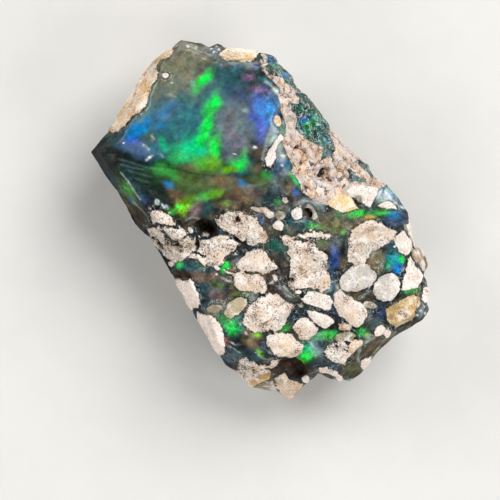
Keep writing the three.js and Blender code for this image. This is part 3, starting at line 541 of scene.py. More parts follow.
# Thin lines on the opal: paint, half width in squares, strength, points. Some of the pale
# frost and haze lines are painted glints and highlights, marked where they stand.
LINES = (
    ("black", 1.0, 0.6, ((100, 150), (128, 158), (152, 166), (178, 170), (198, 175))),
    ("bottle", 1.0, 0.45, ((198, 175), (222, 177), (245, 178))),
    # this frost line is a painted highlight along the window's right rim
    ("frost", 1.4, 0.45, ((265, 83), (272, 87), (277, 93), (280, 101), (279, 110))),
    ("haze", 1.1, 0.7, ((279, 108), (275, 120), (269, 133), (266, 145), (262, 160))),
    ("haze", 0.8, 0.55, ((122, 174), (129, 182), (136, 193), (141, 200))),
    ("haze", 0.8, 0.6, ((133, 203), (138, 208), (145, 213))),
    ("leaf", 1.2, 0.5, ((290, 173), (295, 182), (303, 191))),
    ("leaf", 1.0, 0.7, ((280, 127), (284, 132), (286, 142))),
    ("haze", 1.2, 0.5, ((176, 46), (188, 44), (202, 50), (214, 56), (218, 64))),
    ("haze", 0.8, 0.5, ((283, 207), (276, 214), (272, 221), (270, 230))),
    ("haze", 1.0, 0.8, ((220, 276), (227, 280), (235, 283))),
    ("haze", 1.2, 0.7, ((375, 337), (366, 342), (360, 349), (358, 358), (361, 364))),
    ("frost", 1.0, 0.7, ((334, 381), (345, 382), (355, 380))),
    ("horn", 1.2, 0.8, ((364, 370), (374, 356), (382, 345), (396, 333))),
    ("horn", 1.2, 0.7, ((310, 376), (316, 371), (321, 375))),
    ("haze", 1.2, 0.8, ((300, 201), (308, 203), (318, 203))),
    ("haze", 1.0, 0.7, ((312, 198), (320, 204), (324, 211))),
    ("haze", 1.0, 0.6, ((306, 339), (312, 345), (316, 349))),
    ("haze", 0.8, 0.25, ((347, 222), (349, 233), (346, 243), (346, 256))),
    ("frost", 0.7, 0.4, ((256, 352), (262, 356), (270, 361))),
    ("frost", 0.7, 0.4, ((264, 347), (269, 352), (275, 355))),
    ("frost", 0.8, 0.5, ((231, 342), (235, 345), (240, 344))),
    ("frost", 0.7, 0.4, ((230, 347), (235, 349), (239, 352))),
    ("haze", 0.7, 0.5, ((186, 220), (192, 217), (199, 219))),
    # these two frost lines are painted glints on the opal between the clasts
    ("frost", 0.7, 0.5, ((284, 286), (288, 291), (291, 297))),
    ("frost", 0.7, 0.4, ((272, 280), (275, 285), (280, 289))),
    ("haze", 0.9, 0.6, ((390, 232), (386, 242), (376, 250), (371, 258))),
    # these two frost lines are painted glints on the opal between the clasts
    ("frost", 1.1, 0.9, ((321, 289), (327, 284), (335, 281))),
    ("frost", 1.0, 0.8, ((327, 291), (331, 285))),
    ("haze", 1.0, 0.5, ((277, 284), (284, 290), (291, 300))),
    ("haze", 0.9, 0.5, ((332, 280), (337, 287), (343, 297))),
    ("haze", 0.8, 0.45, ((340, 284), (336, 290), (333, 298))),
    ("frost", 0.8, 0.4, ((371, 290), (365, 294), (359, 299))),
    ("frost", 1.1, 0.8, ((386, 190), (391, 198), (398, 204), (405, 208))),
    ("frost", 1.2, 0.8, ((405, 224), (409, 233), (413, 244))),
    ("frost", 0.9, 0.6, ((424, 281), (428, 284), (425, 287))),
    ("black", 1.0, 0.8, ((403, 228), (409, 235), (414, 246))),
    ("black", 1.2, 0.8, ((406, 258), (413, 251))),
    ("frost", 0.9, 0.9, ((157, 200), (159, 201), (159, 204), (157, 204), (156, 202), (157, 200))),
    ("frost", 0.9, 0.9, ((162, 204), (165, 208), (167, 206), (169, 209))),
    # the next three marks are partly scratches and partly painted glints in the window
    ("frost", 0.9, 0.7, ((144, 146), (149, 150))),
    ("frost", 0.9, 0.7, ((147, 160), (152, 156))),
    ("haze", 0.9, 0.7, ((152, 136), (154, 141))),
    ("haze", 0.9, 0.6, ((191, 81), (194, 87))),
    ("haze", 0.9, 0.5, ((168, 95), (176, 98))),
    ("haze", 0.9, 0.5, ((158, 152), (163, 158))),
    # scratches along the window's foot
    ("haze", 0.7, 0.18, ((118, 160), (134, 164), (148, 168), (162, 171))),
    ("haze", 0.7, 0.26, ((121, 165), (132, 168), (143, 170))),
    ("haze", 0.7, 0.22, ((128, 171), (141, 174.5), (152, 178))),
    ("haze", 0.7, 0.15, ((134, 178), (142, 181), (150, 182.5))),
)


# How high or deep the fine forms stand, and their sizes, in millimetres.
CLAST_EDGE = (-0.06, 0.08)  # from outside an outline to inside it
CLAST_SHOULDER = 0.35
CLAST_ROUGHNESS = (0.06, 0.5)  # height and size
CLAST_PIT_DEPTH = 0.1
SEAM_DEPTH = 0.07
SEAM_WIDTH = 0.16
SAND_GRAIN = 0.6
SAND_RISE = 0.16
SAND_DOME = (0.6, 1.6)  # a grain's crown, and its fall towards its sides
SAND_HUMPS = (0.12, 3, 1.3, 2)  # height, shift, size, layers
OPAL_ROUGHNESS = (0.11, 0.03)  # of broken opal, and of clear opal
OPAL_RIPPLE = (1.1, 0.02)  # size, and how far the opal lies below the clasts
PIT_DEPTH = 0.28
DETAIL_FADE = 0.5  # height above the floor where the detail is full

# Where a patch of noise lies: its shift, size in mm, layers, and the values that it starts and
# is full at.
CLAST_PITS = (0, 0.36, 2, 0.2, 0.55)
DEEP_OPAL = (41, 0.9, 4, -0.35, 0.4)
LIT_SIDES = (23, 0.9, 4, -0.25, 0.3)
SIDE_TUFF = (71, 3.6, 4, 0.14, 0.24)
SOAKED_SIDES = (91, 1.5, 4, 0.05, 0.2)

# How an outline wanders: reach, size of a bend in mm, layers, and a shift for each axis.
CLAST_WANDER = (1.5, 0.6, 2, (0, 31))
FIRE_WANDER = (3.2, 1.1, 4, (0, 57))
SIDE_FIRE_WANDER = (1.3, 1.5, 4, (0, 5, 10))
SAND_WANDER = (1.0, 0.8, 2, (0, 13))
SAND_STRAY = (3, 8)  # squares, where the skin is level and where it is steep
LINE_STRAY = 0.35  # a thin line's share of the fire's wandering

# The opal's body: a noise of hue, where it turns brown and where blue, and how light it is in
# its darkest and lightest parts.
HUE_PATCHES = (81, 1.5, 3)
BROWN_FROM = (0.02, 0.3)
BLUE_FROM = (0.04, 0.35)
BODY_LIGHT = (0.12, 1.6)
FIRE_RAGGED = (0.4, 7, 0.5, 2)  # reach, shift from patch to patch, size in mm, layers
FROSTED_PAINTS = ("haze", "horn")
# how strongly the white specks, partly painted glints, cover the opal
SPECK_AND_GLINT_STRENGTH = 0.9

# How porous a pebble is, and the skin where there is no clast.
PEBBLE_PORES = 0.1
OPEN_PORES = 0.4

# The mesh's maps: the first two are colours, and the second one's alpha is how porous it is.
MAPS = ("opal_colour", "clast_colour", "frost", "clast_edge", "sand", "glassy_sand", "shade",
        "gloss", "steep")
COLOUR_MAPS = MAPS[:2]

# Where the skin counts as steep, level, glossy or sandy: from no share to its full share.
STEEP = (0.5, 0.85)
LEVEL = (0.7, 0.9)
GLOSS_EDGE = (-0.1, 0.15)
RIM_FADE = 0.3
SAND_EDGE = (-0.1, 0.12)
SOAKED_EDGE = (-0.16, 0.18)
SOAKED_GRAIN = 0.6

# The sides and the underside hold clasts of two sizes, each with the share of cells that has
# one, and below the rim the sketch's own marks give way to them.
SIDE_CLASTS = ((2.7, 0.62), (1.15, 0.6))
SIDE_CLAST_BEND = (0.22, 0.45, 3, (0, 9, 18))
SIDE_CLAST_SPREAD = 0.45
SIDE_CLAST_RADIUS = (0.4, 0.22)
SIDE_CLAST_PORES = (0.3, 0.6)
SIDE_CLAST_GAP = 0.05
RESHUFFLE = (13, 7)  # factors that make new random numbers out of one
SIDE_CLAST_PAINTS = ("cream", "chalk", "pink", "ash", "cream", "tan", "ochre", "drab")
SIDE_BAND = (0.15, 1.1)
SIDE_RAGGED = (0.7, 1.4)
SIDE_RETREAT = 1.2
SIDE_SHADE = 0.7
SIDE_FIRE_SIZE = 1.7
SIDE_FIRE_GAP = 0.5
SIDE_FIRE_PAINTS = (
    "deep_teal", "black", "bottle", "ink", "bark", "leaf", "humus", "azure",
    "bottle", "jade", "plum", "deep_teal", "brown", "blue", "moss", "sea",
)

# The noise: what a corner's sine is spread and scattered by, and each layer's shift.
SPREAD = (127.1, 311.7, 74.7)
SCATTER = 43758.5453
LAYER_SHIFT = 17.3


def linear(colour):
    """An sRGB hex colour as linear red, green, blue and 1: v/12.92, or ((v + 0.055)/1.055)^2.4."""
    part = np.array([int(colour[i:i + 2], 16) / 255 for i in (1, 3, 5)])
    curve = np.where(part <= 0.04045, part / 12.92, ((part + 0.055) / 1.055) ** 2.4)
    return (*curve.tolist(), 1.0)


def smooth(value, low, high):
    """0 up to low and 1 from high, with 3t² − 2t³ in between."""
    t = np.clip((value - low) / (high - low), 0, 1)
    return t * t * (3 - 2 * t)


def blend(a, b, share):
    """A straight mix, a + (b − a) × share, for rows of numbers too."""
    share = np.asarray(share)
    if np.ndim(a) > share.ndim or np.ndim(b) > share.ndim:
        share = share[..., None]
    return a + (b - a) * share


def turned(right, up, angle):
    """A place turned about the origin: (x cos − y sin, x sin + y cos)."""
    cos, sin = math.cos(angle), math.sin(angle)
    return np.stack((right * cos - up * sin, right * sin + up * cos), axis=-1)


def on_stone(sketch):
    """Sketch squares to millimetres: moved to the middle, scaled, y turned up, then turned."""
    right, up = ((np.asarray(sketch, float) - SKETCH_MIDDLE) * (SQUARE, -SQUARE)).T
    return turned(right, up, SKETCH_TURN)


def on_sketch(plan):
    """Millimetres back to sketch squares."""
    return turned(*plan.T, -SKETCH_TURN) / (SQUARE, -SQUARE) + SKETCH_MIDDLE


def chance(i, j, k):
    """A repeatable random number from −1 to 1 for a corner: the fraction of a large sine."""
    a, b, c = SPREAD
    spread = np.sin(i * a + j * b + k * c) * SCATTER
    return 2 * (spread - np.floor(spread)) - 1


def cloud(place):
    """Smooth noise from −1 to 1: the eight corners' numbers, mixed by 3t² − 2t³ on each axis."""
    cell = np.floor(place)
    i, j, k = cell.T
    fx, fy, fz = smooth(place - cell, 0, 1).T

    def row(dj, dk):
        return blend(chance(i, j + dj, k + dk), chance(i + 1, j + dj, k + dk), fx)

    return blend(blend(row(0, 0), row(1, 0), fy), blend(row(0, 1), row(1, 1), fy), fz)


def layered(points, size, layers=3):
    """Noise of several sizes: each layer is half the size and half the height of the last."""
    total = sum(
        cloud(points * (2 ** n / size) + LAYER_SHIFT * n) / 2 ** n for n in range(layers))
    return total / sum(1 / 2 ** n for n in range(layers))


def patches(points, shift, size, layers, low, high):
    """Patches where a noise is high: 0 up to low and 1 from high."""
    return smooth(layered(points + shift, size, layers), low, high)


def wander(points, reach, size, layers, shifts):
    """How far each place strays on each axis: reach × the noise at the shifted points."""
    return reach * np.column_stack([layered(points + shift, size, layers) for shift in shifts])


def cells(points, size, spread=0.5):
    """The nearest two of one middle per lattice cell: their distances in cells, and a number.

    A cell's middle is its centre moved by spread times three random numbers. The third
    result is a random number from 0 to 1 that belongs to the nearest middle.
    """
    place = points / size
    cell = np.floor(place)
    first = np.full(len(points), np.inf)
    second = np.full(len(points), np.inf)
    number = np.zeros(len(points))
    for step in np.ndindex(3, 3, 3):
        corner = cell + np.array(step) - 1
        i, j, k = corner.T
        shift = np.stack((chance(i, j, k), chance(j, k, i), chance(k, i, j)), axis=-1)
        away = np.linalg.norm(corner + 0.5 + spread * shift - place, axis=1)
        nearer = away < first
        second = np.where(nearer, first, np.minimum(second, away))
        number = np.where(nearer, (chance(k, j, i) + 1) / 2, number)
        first = np.where(nearer, away, first)
    return first, second, number


def lumps(points):
    """The sum over the lump sizes of height × noise."""
    return sum(height * cloud(points / size) for size, height in LUMPS)


def bowls(points):
    """Bowl-shaped breaks: depth × (squared distance to the nearest middle − level)."""
    nearest = cells(points, BOWL_SIZE)[0] ** 2
    return BOWL_DEPTH * (nearest - BOWL_LEVEL)


def facet_height(corners, plan, curl):
    """The plane through three corners, and curl × distance² past its farthest corner."""
    table = np.array(corners, float)
    places = on_stone(table[:, :2])
    a, b, c = np.column_stack((places, table[:, 2]))
    normal = np.cross(b - a, c - a)
    flat = a[2] - ((plan - a[:2]) @ normal[:2]) / normal[2]
    middle = places.mean(axis=0)
    reach = np.linalg.norm(places - middle, axis=1).max()
    past = np.maximum(np.linalg.norm(plan - middle, axis=1) - reach, 0)
    return flat + curl * past * past


def lower(a, b):
    """The lower of two heights, with the crest between them rounded off over FACET_EDGE."""
    overlap = np.maximum(FACET_EDGE - np.abs(a - b), 0)
    return np.minimum(a, b) - overlap * overlap / (4 * FACET_EDGE)


def higher(a, b):
    """The higher of two heights, with the valley between them rounded out."""
    return -lower(-a, -b)


def oval(sketch, mark):
    """How far out of an oval a point is: 0 at the middle, 1 on the outline."""
    x, y, length, width, turn = mark
    along, across = turned(*(sketch - (x, y)).T, -math.radians(turn)).T
    return np.hypot(along / length, across / width)


def show_face(plan):
    """The upper side: window, foot and clast face meet, then the breaks cut them all."""
    foot = lower(facet_height(WINDOW_FOOT, plan, 0), facet_height(FOOT_END, plan, 0))
    past_window = higher(foot, facet_height(CLAST_FACE, plan, 0))
    height = lower(facet_height(WINDOW_FACE, plan, 0), past_window)
    for corners in BREAKS:
        height = lower(height, facet_height(corners, plan, FACET_CURL))
    for x, y, radius, depth in HOLLOWS:
        away = np.linalg.norm(plan - on_stone((x, y)), axis=1) / (radius * SQUARE)
        height = height - depth * np.exp(-away ** 4)
    return height


def back_face(plan):
    """The underside: flat at 0, except where a rising facet lifts off it."""
    height = np.full(len(plan), -1.0)
    for corners in UNDERSIDE:
        height = higher(height, facet_height(corners, plan, -FACET_CURL))
    return np.maximum(height, 0)


def rim_at(turn):
    """The rim in a direction from the hub: a straight line from one rim point to the next."""
    table = np.array(RIM, float)
    spokes = on_stone(table[:, :2]) - on_stone(HUB)
    turns = np.arctan2(spokes[:, 1], spokes[:, 0]) % math.tau
    order = np.argsort(turns)
    turns, spokes, heights = turns[order], spokes[order], table[order, 2]
    after = np.searchsorted(turns, turn, side="right") % len(turns)
    before = after - 1
    share = (turn - turns[before]) % math.tau / ((turns[after] - turns[before]) % math.tau)
    spoke = blend(spokes[before], spokes[after], share)
    return spoke, blend(heights[before], heights[after], share)


def box_skin(steps):
    """A box's skin, from −1 to 1 each way, as one closed grid of squares.

    Corner i of n on an axis lies at 2i/n − 1. Equal corners of two sides are one.
    """
    corners, squares, count = [], [], 0
    for axis in range(3):
        across, up = (axis + 1) % 3, (axis + 2) % 3
        i, j = np.meshgrid(np.arange(steps[across] + 1), np.arange(steps[up] + 1), indexing="ij")
        index = np.arange(i.size).reshape(i.shape)
        ring = (index[:-1, :-1], index[1:, :-1], index[1:, 1:], index[:-1, 1:])
        grid = np.stack(ring, axis=-1).reshape(-1, 4)
        for end in (0, steps[axis]):
            side = np.zeros((i.size, 3), int)
            side[:, axis] = end
            side[:, across] = i.ravel()
            side[:, up] = j.ravel()
            corners.append(side)
            squares.append(count + (grid if end else grid[:, ::-1]))
            count += i.size
    merged, place = np.unique(np.vstack(corners), axis=0, return_inverse=True)
    return 2 * merged / np.array(steps) - 1, place.ravel()[np.vstack(squares)]


def stone_skin(box):
    """The box's skin as the stone's, in millimetres, and how far each point is below the rim.

    The top and base spread over the plan: (x√(1 − y²/2), y√(1 − x²/2)) is a place in a
    unit disc, stretched out to the rim. A side's height is a quarter turn, from the rim up
    to the face or down to the base. Lumps and bowls then break it, never out past the rim.
    """
    x, y, z = box.T
    spread = np.stack((x * np.sqrt(1 - y * y / 2), y * np.sqrt(1 - x * x / 2)), axis=-1)
    spoke, rim_height = rim_at(np.arctan2(spread[:, 1], spread[:, 0]) % math.tau)
    rim_reach = np.linalg.norm(spoke, axis=1)
    roll = np.abs(z) * math.pi / 2
    inset = np.where(z > 0, TOP_TURN, UNDER_TURN) * (1 - np.cos(roll))
    outward = spoke / rim_reach[:, None]
    reach = np.linalg.norm(spread, axis=1) * (rim_reach - inset)
    plan = on_stone(HUB) + outward * reach[:, None]

    top = np.maximum(show_face(plan), rim_height)
    base = np.minimum(back_face(plan), rim_height)
    height = blend(rim_height, np.where(z > 0, top, base), np.sin(roll))
    points = np.column_stack((plan, height))

    rim_points = np.column_stack((on_stone(HUB) + spoke, rim_height))
    fade = np.where(z > 0, 1, smooth(height, 0, BASE_FADE))
    broken = (lumps(points) + bowls(points)) * fade
    past_rim = np.minimum(broken - lumps(rim_points) - bowls(rim_points), inset)
    window = smooth(1 - oval(on_sketch(plan), WINDOW), 0, OVAL_SHOULDER)
    upwards = np.where(
        z > 0, lumps(points) * blend(SHOW_FACE_LUMPS, WINDOW_LUMPS, window), -broken)
    points[:, :2] += outward * (past_rim * np.cos(roll))[:, None]
    points[:, 2] = np.maximum(points[:, 2] + upwards * np.sin(roll), 0)
    below_rim = np.where(z < 0, np.hypot(rim_height - points[:, 2], inset), 0)
    return points, below_rim


def outward_normals(points, squares):
    """Each corner's normal: the mean of its squares' crossed diagonals, made one long."""
    a, b, c, d = (points[squares[:, n]] for n in range(4))
    facing = np.cross(c - a, d - b)
    total = np.column_stack([
        sum(np.bincount(squares[:, n], facing[:, axis], len(points)) for n in range(4))
        for axis in range(3)
    ])
    return total / np.linalg.norm(total, axis=1)[:, None]


def line_distance(points, start, end):
    """The distance to a straight line from start to end, whose nearest share is kept in 0–1."""
    start, end = np.asarray(start, float), np.asarray(end, float)
    along = end - start
    share = np.clip(((points - start) @ along) / (along @ along), 0, 1)
    return np.linalg.norm(points - start - share[:, None] * along, axis=1)


def route_distance(points, route):
    """The distance to the nearest of the straight lines from each route point to the next."""
    return np.min([line_distance(points, *ends) for ends in zip(route, route[1:])], axis=0)


def inside(sketch, outline, reach=14):
    """How far inside an outline each point is, in mm, and below 0 outside it.

    The distance is to the nearest side, and a point is inside where a line to its right
    crosses the outline an odd number of times. Farther out than reach it stays −reach.
    """
    ring = np.array(outline, float)
    low, high = ring.min(axis=0) - reach, ring.max(axis=0) + reach
    near = np.all((sketch > low) & (sketch < high), axis=1)
    points = sketch[near]
    nearest = np.full(len(points), float(reach))
    odd = np.zeros(len(points), bool)
    for start, end in zip(ring, np.roll(ring, -1, axis=0)):
        nearest = np.minimum(nearest, line_distance(points, start, end))
        spans = (start[1] > points[:, 1]) != (end[1] > points[:, 1])
        rise = end[1] - start[1] if end[1] != start[1] else 1
        crossing = start[0] + (points[:, 1] - start[1]) * (end[0] - start[0]) / rise
        odd ^= spans & (points[:, 0] < crossing)
    result = np.full(len(sketch), -float(reach))
    result[near] = np.where(odd, nearest, -nearest)
    return result * SQUARE


def pick(paints, number):
    """One linear colour for each random number from 0 to 1, out of a row of colours."""
    table = np.array([linear(paint) for paint in paints])
    return table[np.minimum((number * len(table)).astype(int), len(table) - 1)]


def over(colour, paint, cover):
    """A colour with a paint laid over it, as thickly as cover says."""
    return blend(colour, np.array(linear(paint)), cover)


def clast_map(points, sketch, side):
    """How far inside a clast each point is, in mm, its colour, and how porous it is.

    On the show face the deepest of the drawn outlines counts. The sides and the underside
    have round clasts instead, cut where they meet: the lesser of half the gap between the
    nearest two middles and of a radius less the distance to the first. The small ones keep
    clear of the large ones.
    """
    stray = wander(points, *CLAST_WANDER)
    place = sketch + stray
    drawn = [(paint, porous, inside(place, ring)) for paint, porous, ring in CLASTS]
    for paint, *mark in PEBBLES:
        deep = (1 - oval(place, mark)) * min(mark[2:4]) * SQUARE
        drawn.append((paint, PEBBLE_PORES, deep))
    edge = np.full(len(points), -1.0)
    colour = np.tile(linear(CLAST_PAINTS["cream"]), (len(points), 1))
    pores = np.full(len(points), OPEN_PORES)
    for paint, porous, deep in drawn:
        better = deep > edge
        edge = np.where(better, deep, edge)
        colour[better] = linear(CLAST_PAINTS[paint])
        pores = np.where(better, porous, pores)
    for half_width, route in CRACKS:
        edge = np.minimum(edge, (route_distance(place, route) - half_width) * SQUARE)
    for paint, *mark, strength in BLOTCHES:
        cover = strength * np.exp(-oval(place + stray, mark) ** 3)
        colour = over(colour, CLAST_PAINTS[paint], cover)
    edge = edge - SIDE_RETREAT * side

    paints = [CLAST_PAINTS[name] for name in SIDE_CLAST_PAINTS]
    reach, bend, layers, shifts = SIDE_CLAST_BEND
    least, spread = SIDE_CLAST_RADIUS
    densest, variety = SIDE_CLAST_PORES
    for size, share in SIDE_CLASTS:
        bent = points + wander(points, reach * size, bend * size, layers, shifts)
        first, second, number = cells(bent, size, SIDE_CLAST_SPREAD)
        radius = least + spread * (number * RESHUFFLE[0] % 1)
        deep = np.minimum((second - first) / 2, radius - first) * size - SIDE_CLAST_GAP * size
        deep = np.where(number < share, deep, -1) - SIDE_RETREAT * (1 - side)
        deep = np.minimum(deep, -edge - SIDE_CLAST_GAP)
        better = deep > edge
        number = np.clip(number / share, 0, 1)
        colour[better] = pick(paints, number)[better]
        porous = densest + variety * (number * RESHUFFLE[1] % 1)
        pores = np.where(better, porous, pores)
        edge = np.where(better, deep, edge)
    return edge, colour, pores


def opal_map(points, sketch, side, body):
    """The opal's colour, and how frosted it is.

    A patch of fire covers what lies under it by strength × exp(−out³), where out is the
    distance in half sizes, and a thin line by strength × exp(−out²). The sides have
    patches of their own, one to a cell, that fade out where two cells meet.
    """
    stray = wander(points, *FIRE_WANDER)
    shift, *hue_noise = HUE_PATCHES
    hue = layered(points + shift, *hue_noise)
    body = over(np.array([body]), OPAL_PAINTS["humus"], smooth(hue, *BROWN_FROM))
    body = over(body, OPAL_PAINTS["ink"], smooth(-hue, *BLUE_FROM))
    body = body * blend(*BODY_LIGHT, patches(points, *DEEP_OPAL))[:, None]
    colour = body.copy()
    frost = np.zeros(len(points))
    uneven, shift, *ragged_noise = FIRE_RAGGED
    for number, (paint, *mark, strength) in enumerate(FIRE):
        ragged = 1 + uneven * layered(points + shift * number, *ragged_noise)
        cover = strength * np.exp(-(oval(sketch + stray, mark) * ragged) ** 3)
        colour = over(colour, OPAL_PAINTS[paint], cover)
        frost = blend(frost, float(paint in FROSTED_PAINTS), cover)
    bent = points + wander(points, *SIDE_FIRE_WANDER)
    first, second, number = cells(bent, SIDE_FIRE_SIZE)
    paints = [OPAL_PAINTS[name] for name in SIDE_FIRE_PAINTS]
    lit = smooth(second - first, 0, SIDE_FIRE_GAP) * patches(points, *LIT_SIDES)
    side_colour = blend(body, pick(paints, number), lit)
    colour = blend(colour, side_colour, side) * blend(1, SIDE_SHADE, side)[:, None]
    frost = frost * (1 - side)

    thin = sketch + LINE_STRAY * stray
    for paint, half_width, strength, route in LINES:
        cover = strength * np.exp(-(route_distance(thin, route) / half_width) ** 2)
        colour = over(colour, OPAL_PAINTS[paint], cover * (1 - side))
    # white specks, partly grains and partly painted glints
    for *middle, radius in SPECKS_AND_GLINTS:
        out = np.linalg.norm(thin - middle, axis=1) / radius
        colour = over(colour, CLAST_PAINTS["white"],
                      SPECK_AND_GLINT_STRENGTH * np.exp(-out ** 4) * (1 - side))
    return colour, frost


def fine_relief(points, normals, edge, pores, sand, shade, gloss, rise):
    """Moves the skin out along its normals, in mm, by the fine forms of each material.

    Clasts stand up by their rise within their shoulder and are rough and pitted, a seam
    runs round them, each grain of sand is a small dome, and the pits sink in.
    """
    rough, bump = CLAST_ROUGHNESS
    pitted = CLAST_PIT_DEPTH * (patches(points, *CLAST_PITS) * pores)
    on_clast = rise * smooth(edge, 0, CLAST_SHOULDER) + rough * layered(points, bump) - pitted
    first = cells(points, SAND_GRAIN)[0]
    crown, fall = SAND_DOME
    hump, shift, *hump_noise = SAND_HUMPS
    on_sand = SAND_RISE * (crown - first * first * fall)
    on_sand = on_sand + hump * layered(points + shift, *hump_noise)
    ripple, sink = OPAL_RIPPLE
    on_opal = blend(*OPAL_ROUGHNESS, gloss) * layered(points, ripple) - sink
    seam = SEAM_DEPTH * np.exp(-((edge + SEAM_WIDTH / 2) / (SEAM_WIDTH / 2)) ** 2)
    height = blend(blend(on_opal, on_sand, sand) - seam, on_clast, smooth(edge, *CLAST_EDGE))
    height = (height - PIT_DEPTH * shade) * smooth(points[:, 2], 0, DETAIL_FADE)
    moved = points + normals * height[:, None]
    moved[:, 2] = np.maximum(moved[:, 2], 0)
    return moved


def opal_stone_mesh(look):
    """The whole stone as one closed mesh, with a map of each material on its corners."""
    box, squares = box_skin(LATTICE)
    points, below_rim = stone_skin(box)
    normals = outward_normals(points, squares)
    upward = normals[:, 2]
    sketch = on_sketch(points[:, :2])
    ragged, ragged_size = SIDE_RAGGED
    side = smooth(below_rim * (1 + ragged * layered(points, ragged_size)), *SIDE_BAND)
    steep = 1 - smooth(upward, *STEEP)
    tuff = patches(points, *SIDE_TUFF) * side
    edge, clast_colour, pores = clast_map(points, sketch, side)
    edge = edge - tuff
    opal_colour, frost = opal_map(points, sketch, side, tuple(look.body_colour) + (1.0,))

    place = sketch + blend(*SAND_STRAY, steep)[:, None] * wander(points, *SAND_WANDER)
    sand = np.maximum(smooth(inside(place, SAND), *SAND_EDGE) * (1 - side), tuff)
    glassy = np.max([inside(place, ring) for ring in GLASSY_SAND], axis=0)
    glassy = smooth(glassy, *SOAKED_EDGE) * (1 - side)
    glassy = np.maximum(glassy, tuff * patches(points, *SOAKED_SIDES))
    shade = np.max([np.exp(-oval(place, pit) ** 4) for pit in PITS], axis=0) * (1 - side)
    gloss = smooth(1 - oval(place, SMOOTH_BREAK), *GLOSS_EDGE)
    gloss = gloss * (1 - smooth(below_rim, 0, RIM_FADE)) * smooth(upward, *LEVEL)
    grains = np.maximum(sand, glassy * SOAKED_GRAIN)
    points = fine_relief(points, normals, edge, pores, grains, shade, gloss, look.clast_rise / MM)

    mesh = bpy.data.meshes.new(STONE_NODE)
    scale = look.length / STONE_LENGTH
    mesh.from_pydata(points * scale, [], squares)
    mesh.polygons.foreach_set("use_smooth", np.ones(len(squares), bool))
    clast_colour[:, 3] = pores
    maps = (opal_colour, clast_colour, frost, edge, sand, glassy, shade, gloss, steep)
    for name, values in zip(MAPS, maps):
        kind, field = ("FLOAT_COLOR", "color") if values.ndim == 2 else ("FLOAT", "value")
        layer = mesh.attributes.new(name, kind, "POINT")
        layer.data.foreach_set(field, values.astype(np.float32).ravel())
    mesh.validate()
    return mesh


def add_node(tree, kind, settings=None, links=None):
    """Adds one node, sets its properties, and gives its inputs values or other nodes' results.

    The links are a row for the inputs in order, or name the inputs in use, or number them.
    A node given as a value stands for its first output that is in use.
    """
    node = tree.nodes.new("ShaderNode" + kind)
    for name, value in (settings or {}).items():
        setattr(node, name, value)
    links = dict(enumerate(links)) if isinstance(links, tuple) else links or {}
    for name, value in links.items():
        if isinstance(name, int):
            socket = node.inputs[name]
        else:
            socket = next(s for s in node.inputs if s.enabled and s.name == name)
        if isinstance(value, bpy.types.Node):
            value = next(s for s in value.outputs if s.enabled)
        if isinstance(value, bpy.types.NodeSocket):
            tree.links.new(value, socket)
        else:
            socket.default_value = value
    return node


# Settings that nodes share.
COLOURS = {"data_type": "RGBA"}
TIMES = {"operation": "MULTIPLY"}
TIMES_PLUS = {"operation": "MULTIPLY_ADD"}
LARGER = {"operation": "MAXIMUM"}
SCALED = {"operation": "SCALE"}
STEP = {"interpolation_type": "SMOOTHSTEP"}
TO_EDGE = {"feature": "DISTANCE_TO_EDGE"}

# Precious opal is hydrous silica, broken and not polished: glassy, with an IOR of about
# 1.45. The fire lies under a clear gloss where the stone split along a smooth face, and
# its other breaks are fine-grained and dull.
OPAL_IOR = 1.45
OPAL_SPECULAR = 0.2
OPAL_COAT = 0.6
OPAL_COAT_ROUGHNESS = 0.08
OPAL_VEIL = "#B8C4BC"
OPAL_CRUMB_SIZE = 0.4
COMB = (1.0, 0.36, 1.0)  # the fire in the clear opal runs in fine streaks, drawn out on one axis
COMBED_NOISE = (0.34, 3, 0.55)
STREAKS = 0.5  # the streaks' share of the mottle
WINDOW_MILK = 0.7  # how far the clear opal's milkiness hides the flecks
FIRE_PLAY = 1.0  # how far the hue strays from patch to patch
THREAD = (0.5, 0.018)  # the veil noise's value on a pale thread, and how far either side
MIST_FLECK = 0.8
SEAM_SHADE = 0.85  # how much of the light a seam takes

# Altered pumice is a chalk-dull, frothy glass, full of fine pores and stained by rust.
PUMICE_DULLNESS = 0.95
PUMICE_PORE = "#4C3628"
PUMICE_RUST = "#D9AE78"
PUMICE_CHALK = "#FBF5EE"
FINE_PORES = (0.14, 0.55)  # what a clast's own porosity and the clusters add
WIDE_PORES = 0.1
# painted shade, near-black, at the bottom of the deep pits
PIT_SHADE = "#1C130D"
PIT_FRAY = 2.6

# Tuff is broken pumice and glass in crumbs of their own colours, with rusty fissures.
CRUMB_SIZE = 0.36
CHUNK_SIZE = 0.64
CHUNK_JOG = 0.7
CRUMB_PAINTS = (
    "#F4E0D2", "#FFF4EA", "#F2D2BA", "#F8E4DA", "#DCD2CC", "#F8E0CC", "#ECC8AA", "#EEE0DA",
)
FISSURE = "#5A3A24"
TUFF_RUST = "#CDA27A"
TUFF_FRAY = 0.9
TUFF_DULLNESS = 0.85

# Opal soaked part of it, and broken glassy grains make a pale net over dark teal.
NET_SIZE = 0.29
NET_JOG = 0.8
SOAKED_GROUND = ("#022A22", "#04B070", "#0E74A4")
SOAKED_OPAL = 0.62  # the share of the opal's own colour that shows through
SOAKED_NET = "#F0F6F1"
SOAKED_DULLNESS = 0.3

# Relief finer than the mesh, in mm.
PORE_SINK = 0.07
PUMICE_LEVEL = 0.02
PUMICE_GRAIN = 0.09
TUFF_GRAIN = 0.16
HOLLOW_SINK = 0.2

# One noise for each job: its size in mm, its layers and how rough they are.
NOISES = {
    "fray": (0.3, 4, 0.68), "tone": (1.2, 2, 0.5), "grain": (0.1, 4, 0.75),
    "pore": (0.09, 2, 0.6), "hole": (0.22, 3, 0.6), "cluster": (0.8, 2, 0.5),
    "stain": (0.42, 4, 0.65), "mottle": (0.5, 5, 0.68), "fleck": (0.1, 3, 0.7),
    "veil": (0.62, 4, 0.62),
}
